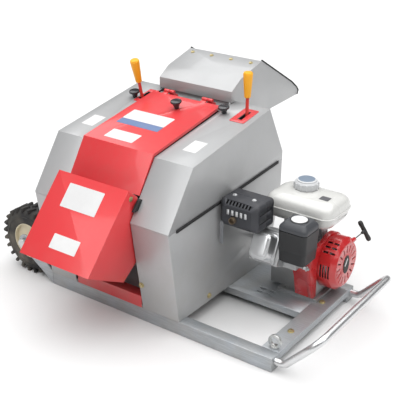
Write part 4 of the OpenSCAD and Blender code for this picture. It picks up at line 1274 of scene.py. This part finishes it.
@dataclass
class Muffler(Assembly):
    """Boxed muffler with slots in its upper bevel, louvres and an outlet stub."""

    x_mid: float = -275.0
    z_mid: float = 380.0
    back_y: float = 320.0
    slots: int = 8
    slot_step: float = 12.5
    louvres: int = 5

    def details(self) -> None:
        """Lofts the box, cuts the slots and adds the louvres, stub, stay and bolts."""
        place = facing(spot(self.x_mid, self.back_y, self.z_mid), FRONT)
        box = loft([(132, 84, 12, 0), (146, 96, 12, 3), (150, 100, 14, 7), (150, 100, 14, 44),
                    (147, 97, 14, 46),
                    (147, 97, 14, 49), (150, 100, 14, 51), (150, 100, 14, 92), (142, 92, 13, 101),
                    (118, 68, 12, 113), (112, 62, 10, 115)], place, 25)
        bevel = (FRONT + UP).normalized()
        unit = block(Vector((-3.2, -7.5, -9)) * MM, Vector((3.2, 7.5, 9)) * MM)
        first = spot(self.x_mid - (self.slots - 1) / 2 * self.slot_step, 213.5, 422)
        unit.transform(facing(first, bevel))
        # The slot faces come out near-black: painted shade inside the slots.
        row = repeated(Repeat.ROW, unit, EXTRA["slot_painted_shade"], self.slots, RIGHT * self.slot_step * MM)
        side = block(Vector((-1.6, -34, -2.2)) * MM, Vector((1.6, 34, 2.2)) * MM)
        side.transform(facing(spot(-200, 262, self.z_mid + 14), RIGHT, Vector((0, 1, 0))))
        low = repeated(Repeat.ROW, side, EXTRA["slot_painted_shade"], 2, UP * -30 * MM)
        add("muffler_box", pierced(box, [row, low]), "muffler", stands_for=("muffler",))
        blade = rounded(block(Vector((-4.4, -9, -1)) * MM, Vector((4.4, 9, 3.4)) * MM), 1.2 * MM, 2)
        blade.transform(facing(spot(self.x_mid - 34, 205.4, 391), FRONT))
        add("muffler_louvres", repeated(Repeat.ROW, blade, FINISHES["valve_alloy"], self.louvres,
                                        RIGHT * 17 * MM), "muffler", "louvre_grey")
        mouth = lathe([(0, -2 * MM), (12 * MM, -2 * MM), (12 * MM, 11 * MM), (11 * MM, 12 * MM),
                       (9 * MM, 11 * MM),
                       (9 * MM, 3 * MM), (0, 3 * MM)], facing(spot(-288, 205, 366), FRONT), 32)
        add("muffler_outlet", mouth, "muffler", "scorched")
        bolts = [hex_head(spot(x, 258, 429.4), UP, 6, 5) for x in (-318, -242)]
        add("muffler_bolts", joined(bolts), "valve_cover")
        pipe = tube([spot(-230, 313, 320), spot(-230, 313, 332)], 11 * MM, [0, 0], EXTRA["scorched"])
        stay = rounded(block(spot(-346, 212, 262), spot(-332, 216, 345)), 1 * MM)
        add("muffler_stay", stay, "muffler", "louvre_grey")
        add("muffler_pipe", pipe, "muffler", "scorched")


@dataclass
class AirCleaner(Assembly):
    """Moulded air cleaner with a chamfered lid and a round cap."""

    x_mid: float = -92.5
    y_mid: float = 298.0
    foot_z: float = 242.0

    def details(self) -> None:
        """Lofts the canister and the lid, and turns the cap."""
        place = Matrix.Translation(spot(self.x_mid, self.y_mid, self.foot_z))
        case = loft([(90, 84, 14, 0), (98, 92, 14, 4), (101, 96, 14, 40), (103, 98, 14, 44),
                     (103, 98, 14, 48),
                     (102, 97, 14, 52), (105, 100, 14, 108), (105, 100, 14, 112), (98, 93, 12, 112.8),
                     (98, 93, 12, 114)], place, 30)
        add("air_cleaner_case", case, "air_cleaner", stands_for=("air_cleaner",))
        lid = loft([(98, 93, 12, 113.9), (104, 99, 14, 114.2), (105, 100, 15, 117), (105, 100, 16, 124),
                    (101, 96, 16, 130), (82, 77, 14, 141), (76, 71, 12, 143.5), (70, 65, 11, 144)], place, 30)
        add("air_cleaner_lid", lid, "air_cleaner", "lid_grey")
        top = Matrix.Translation(spot(self.x_mid, self.y_mid, self.foot_z + 143.8))
        ring = lathe([(0, -1 * MM), (31 * MM, -1 * MM), (31 * MM, 1.4 * MM), (29 * MM, 2 * MM), (0, 2 * MM)],
                     top, 48)
        add("air_cleaner_ring", ring, "air_cleaner")
        cap = lathe([(0, 0), (26.5 * MM, 0), (27 * MM, 3.6 * MM), (25 * MM, 5 * MM), (12 * MM, 5.2 * MM),
                     (11 * MM, 6.4 * MM), (0, 6.6 * MM)], top, 48)
        add("air_cleaner_cap", cap, "air_cleaner", "plate_white")


@dataclass
class FuelTank(Assembly):
    """White two-shell tank with its seam flange, filler neck and ribbed cap."""

    x_mid: float = -143.0
    y_mid: float = 447.0
    foot_z: float = 328.0
    cap_x: float = -168.0
    cap_y: float = 474.0
    ribs: int = 12

    def details(self) -> None:
        """Lofts the tank, then turns the neck and the cap."""
        place = Matrix.Translation(spot(self.x_mid, self.y_mid, self.foot_z))
        shell = loft([(176, 100, 30, 0), (214, 136, 34, 2.5), (232, 152, 36, 8), (246, 166, 36, 22),
                      (254, 174, 36, 40), (255, 175, 36, 44), (261, 181, 38, 45), (262, 182, 38, 46.5),
                      (261, 181, 38, 48), (256, 176, 36, 49), (255, 175, 36, 60), (250, 170, 36, 72),
                      (238, 158, 36, 81), (218, 138, 34, 87.5), (180, 102, 30, 91), (120, 50, 20, 92)], place,
                     40)
        neck = lathe([(0, 88 * MM), (34 * MM, 88 * MM), (33 * MM, 95 * MM), (31.5 * MM, 104 * MM),
                      (0, 104 * MM)], Matrix.Translation(spot(self.cap_x, self.cap_y, self.foot_z)), 48)
        add("fuel_tank_shell", joined([shell, neck]), "fuel_tank", stands_for=("fuel_tank",))
        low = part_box("fuel_cap")[0].z
        foot = Matrix.Translation(Vector((*spot(self.cap_x, self.cap_y, 0).xy, low)))
        body = lathe([(36 * MM, 0), (41 * MM, 1.5 * MM), (41 * MM, 22 * MM), (38 * MM, 26 * MM),
                      (34.5 * MM, 27 * MM),
                      (34 * MM, 31 * MM), (31 * MM, 32.6 * MM), (0, 32.8 * MM), (0, 15.8 * MM),
                      (36 * MM, 15.8 * MM), (36 * MM, 0)], foot, 72)
        rib = lathe([(0, 2 * MM), (4.6 * MM, 2 * MM), (5.2 * MM, 4 * MM), (5.2 * MM, 19 * MM),
                     (4 * MM, 22.5 * MM), (0, 23.5 * MM)], Matrix.Translation((39 * MM, 0, 0)), 14, 60)
        ribs = repeated(Repeat.RING, rib, FINISHES["cap_plastic"], self.ribs, centre=foot.translation)
        add("fuel_cap_ribbed", joined([body, ribs]), "fuel_cap", stands_for=("fuel_cap",))
        disc = lathe([(0, 32.2 * MM), (29 * MM, 32.2 * MM), (29 * MM, 32.9 * MM), (27 * MM, 33.1 * MM),
                      (0, 33.2 * MM)], foot, 48)
        add("fuel_cap_top", disc, "fuel_cap", "cap_blue")
        lie_plate("tank_plate", "fuel_tank", -72, 430, (34, 30), "plate_dark", 0.5)


@dataclass
class RecoilStarter(Assembly):
    """Fan shroud with its slots, recoil cover, pull grip and rope."""

    edges: dict[str, float] = field(default_factory=lambda: {"fan_shroud": 2.2})
    radius: float = 95.0
    crank_y: float = 482.0
    crank_z: float = 172.0
    rope_x: float = -9.0
    rope_z: float = 238.0
    grip_y: float = 626.0
    bar: float = 80.0

    def details(self) -> None:
        """Slots the cover and shapes the centre plate, the grip and the rope."""
        # The cut slot faces get near-black painted shade.
        cover = rounded(pierced(copied("recoil_cover"), self.slots()), 1.2 * MM)
        add("recoil_cover_slotted", cover, "recoil_cover", stands_for=("recoil_cover",))
        face = facing(spot(-1.4, self.crank_y, self.crank_z), RIGHT)
        oval = [(22 * MM * math.cos(a), 34 * MM * math.sin(a))
                for a in (2 * math.pi * i / 40 for i in range(40))]
        add("recoil_centre", rounded(plate(oval, face, 3.2 * MM), 1.2 * MM, 2), "recoil_cover", "lead_black")
        streak = round_outline(7 * MM, 30 * MM, 3 * MM)
        slant = facing(spot(1.6, self.crank_y - 3, self.crank_z + 9), RIGHT) @ Matrix.Rotation(-0.6, 4, "Z")
        add("recoil_centre_plate", rounded(plate(streak, slant, 0.9 * MM), 0.3 * MM, 1), "recoil_cover",
            "plate_white")
        self.grip()
        self.rope()

    def slots(self) -> list[bpy.types.Mesh]:
        """Two rows of slots high on the cover's wall and one row of upright slots at its front."""
        tools = []
        for angle in (114, 126, 138):
            out = Vector((0, math.cos(math.radians(angle)), math.sin(math.radians(angle))))
            at = spot(-46, self.crank_y, self.crank_z) + out * self.radius * MM
            unit = block(Vector((-9, -3.6, -9)) * MM, Vector((9, 3.6, 9)) * MM)
            unit.transform(facing(at, out, RIGHT.cross(out)))
            tools.append(repeated(Repeat.ROW, unit, EXTRA["slot_painted_shade"], 2, RIGHT * 24 * MM))
        front = block(Vector((-2.6, -24, -14)) * MM, Vector((2.6, 24, 14)) * MM)
        front.transform(facing(spot(-50, self.crank_y - self.radius, self.crank_z), FRONT))
        tools.append(repeated(Repeat.ROW, front, EXTRA["slot_painted_shade"], 4, RIGHT * 10 * MM))
        return tools

    def grip(self) -> None:
        """Turns the T grip and its stem."""
        middle = spot(self.rope_x, self.grip_y + 6, self.rope_z)
        lean = Matrix.Translation(middle) @ Matrix.Rotation(math.radians(145), 4, "Y")
        half = self.bar / 2
        outline = [(0, -half), (5.5, -half + 0.8), (8.4, -half + 5), (9, -half + 11), (7.8, -half + 24),
                   (8.3, 0), (7.8, half - 24), (9, half - 11), (8.4, half - 5), (5.5, half - 0.8), (0, half)]
        bar = lathe([(r * MM, h * MM) for r, h in outline], lean, 32, 60)
        stem_place = facing(spot(self.rope_x, self.grip_y - 16, self.rope_z), -FRONT)
        stem = lathe([(0, 0), (4 * MM, 0), (5 * MM, 2 * MM), (6 * MM, 15 * MM), (0, 15 * MM)], stem_place, 32,
                     60)
        add("pull_grip_moulded", joined([bar, stem]), "pull_grip", stands_for=("pull_grip",))

    def rope(self) -> None:
        """Runs the rope from its guide to the grip."""
        low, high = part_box("starter_rope")
        start = Vector(((low.x + high.x) / 2, low.y, (low.z + high.z) / 2))
        end = Vector((start.x, high.y + 2 * MM, start.z))
        points = [start.lerp(end, i / 16) for i in range(17)]
        mesh = tube(points, (high.x - low.x) / 2, [0] * 17, FINISHES["rope_black"])
        piece = bpy.data.objects.new("starter_rope_run", mesh)
        bpy.context.scene.collection.objects.link(piece)
        mesh.materials.clear()
        mesh.materials.append(FINISHES["rope_black"].material())
        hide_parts("starter_rope")
        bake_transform(piece)


@dataclass
class Studio:
    """Pale floor, soft light and the camera."""

    lens: float = 76.9
    azimuth: float = 35.5
    elevation: float = 24.4
    roll: float = 0.4
    camera_at: tuple[float, float, float] = (1094.4, -1922.2, 1587.8)
    floor_size: float = 200.0
    ambient: float = 0.12
    overhead: float = 4.8
    spread: float = 100.0

    def build(self) -> None:
        """Builds the floor, the lights and the camera."""
        self.floor()
        self.camera()
        world = bpy.data.worlds.new("studio")
        bpy.context.scene.world = world
        world.use_nodes = True
        tree = world.node_tree
        background = tree.nodes["Background"]
        background.inputs["Color"].default_value = (1.0, 1.0, 1.0, 1.0)
        rays = tree.nodes.new("ShaderNodeLightPath")
        shown = math_node(tree, "MULTIPLY", rays.outputs["Is Camera Ray"], 1.0 - self.ambient)
        tree.links.new(math_node(tree, "ADD", shown, self.ambient), background.inputs["Strength"])
        overhead = bpy.data.lights.new("overhead_light", "SUN")
        overhead.energy = self.overhead
        overhead.angle = math.radians(self.spread)
        bpy.context.scene.collection.objects.link(bpy.data.objects.new("overhead_light", overhead))
        self.softbox("key_light", Vector((-0.4, -3.4, 2.6)), Vector((0, 0, 0.3)), 1.8, 10)
        self.softbox("side_light", Vector((3.4, -0.4, 1.6)), Vector((0, 0, 0.3)), 1.2, 8)
        bpy.context.scene.view_settings.view_transform = "Standard"
        log.info("built Studio")

    def floor(self) -> None:
        """Lays a pale floor with a faint grain."""
        bm = bmesh.new()
        bmesh.ops.create_grid(bm, x_segments=2, y_segments=2, size=self.floor_size / 2)
        mesh = bpy.data.meshes.new("floor")
        bm.to_mesh(mesh)
        bm.free()
        floor = bpy.data.objects.new("floor", mesh)
        bpy.context.scene.collection.objects.link(floor)
        finish = Finish("floor", (0.70, 0.70, 0.70), Surface.PAINT, 0.8, mottle=0.0, wear=0.0, dust=0.0)
        mesh.materials.append(finish.material("floor_paint"))

    def camera(self) -> None:
        """Sets the camera on its bearing."""
        data = bpy.data.cameras.new("camera")
        data.lens = self.lens
        data.sensor_width = 36.0
        data.clip_end = 300.0
        camera = bpy.data.objects.new("camera", data)
        bpy.context.scene.collection.objects.link(camera)
        turn, rise = math.radians(self.azimuth), math.radians(self.elevation)
        look = Vector((-math.sin(turn) * math.cos(rise), math.cos(turn) * math.cos(rise), -math.sin(rise)))
        camera.rotation_euler = (look.to_track_quat("-Z", "Y").to_matrix()
                                 @ Matrix.Rotation(math.radians(self.roll), 3, "Z")).to_euler()
        camera.location = spot(*self.camera_at)
        bpy.context.scene.camera = camera

    def softbox(self, name: str, at: Vector, target: Vector, size: float, power: float) -> None:
        """Hangs one square soft light.

        Args:
            name: Name of the light.
            at: Its place.
            target: Point that it faces.
            size: Its side.
            power: Its power in watts.
        """
        data = bpy.data.lights.new(name, "AREA")
        data.size = size
        data.energy = power
        light = bpy.data.objects.new(name, data)
        bpy.context.scene.collection.objects.link(light)
        light.location = at
        light.rotation_euler = (target - at).to_track_quat("-Z", "Y").to_euler()


def dress_remaining() -> None:
    """Gives every CAD node that still shows its slot's finish."""
    for node, piece in NODES.items():
        if not piece.hide_render:
            piece.data.materials.clear()
            piece.data.materials.append(FINISHES[SLOT_OF[node]].material())


def main() -> None:
    """Builds the sub-assemblies in order."""
    logging.basicConfig(level=logging.INFO, format="%(message)s")
    parts = (Studio(), GroundFrame(), Wheel(side="near"), Wheel(side="far"), Housings(), CentreSection(),
             FeedHopper(), Controls(), CuttingDrive(), Engine(), Muffler(), AirCleaner(), FuelTank(),
             RecoilStarter())
    for part in parts:
        part.build()
    dress_remaining()


if __name__ == "__main__":
    main()
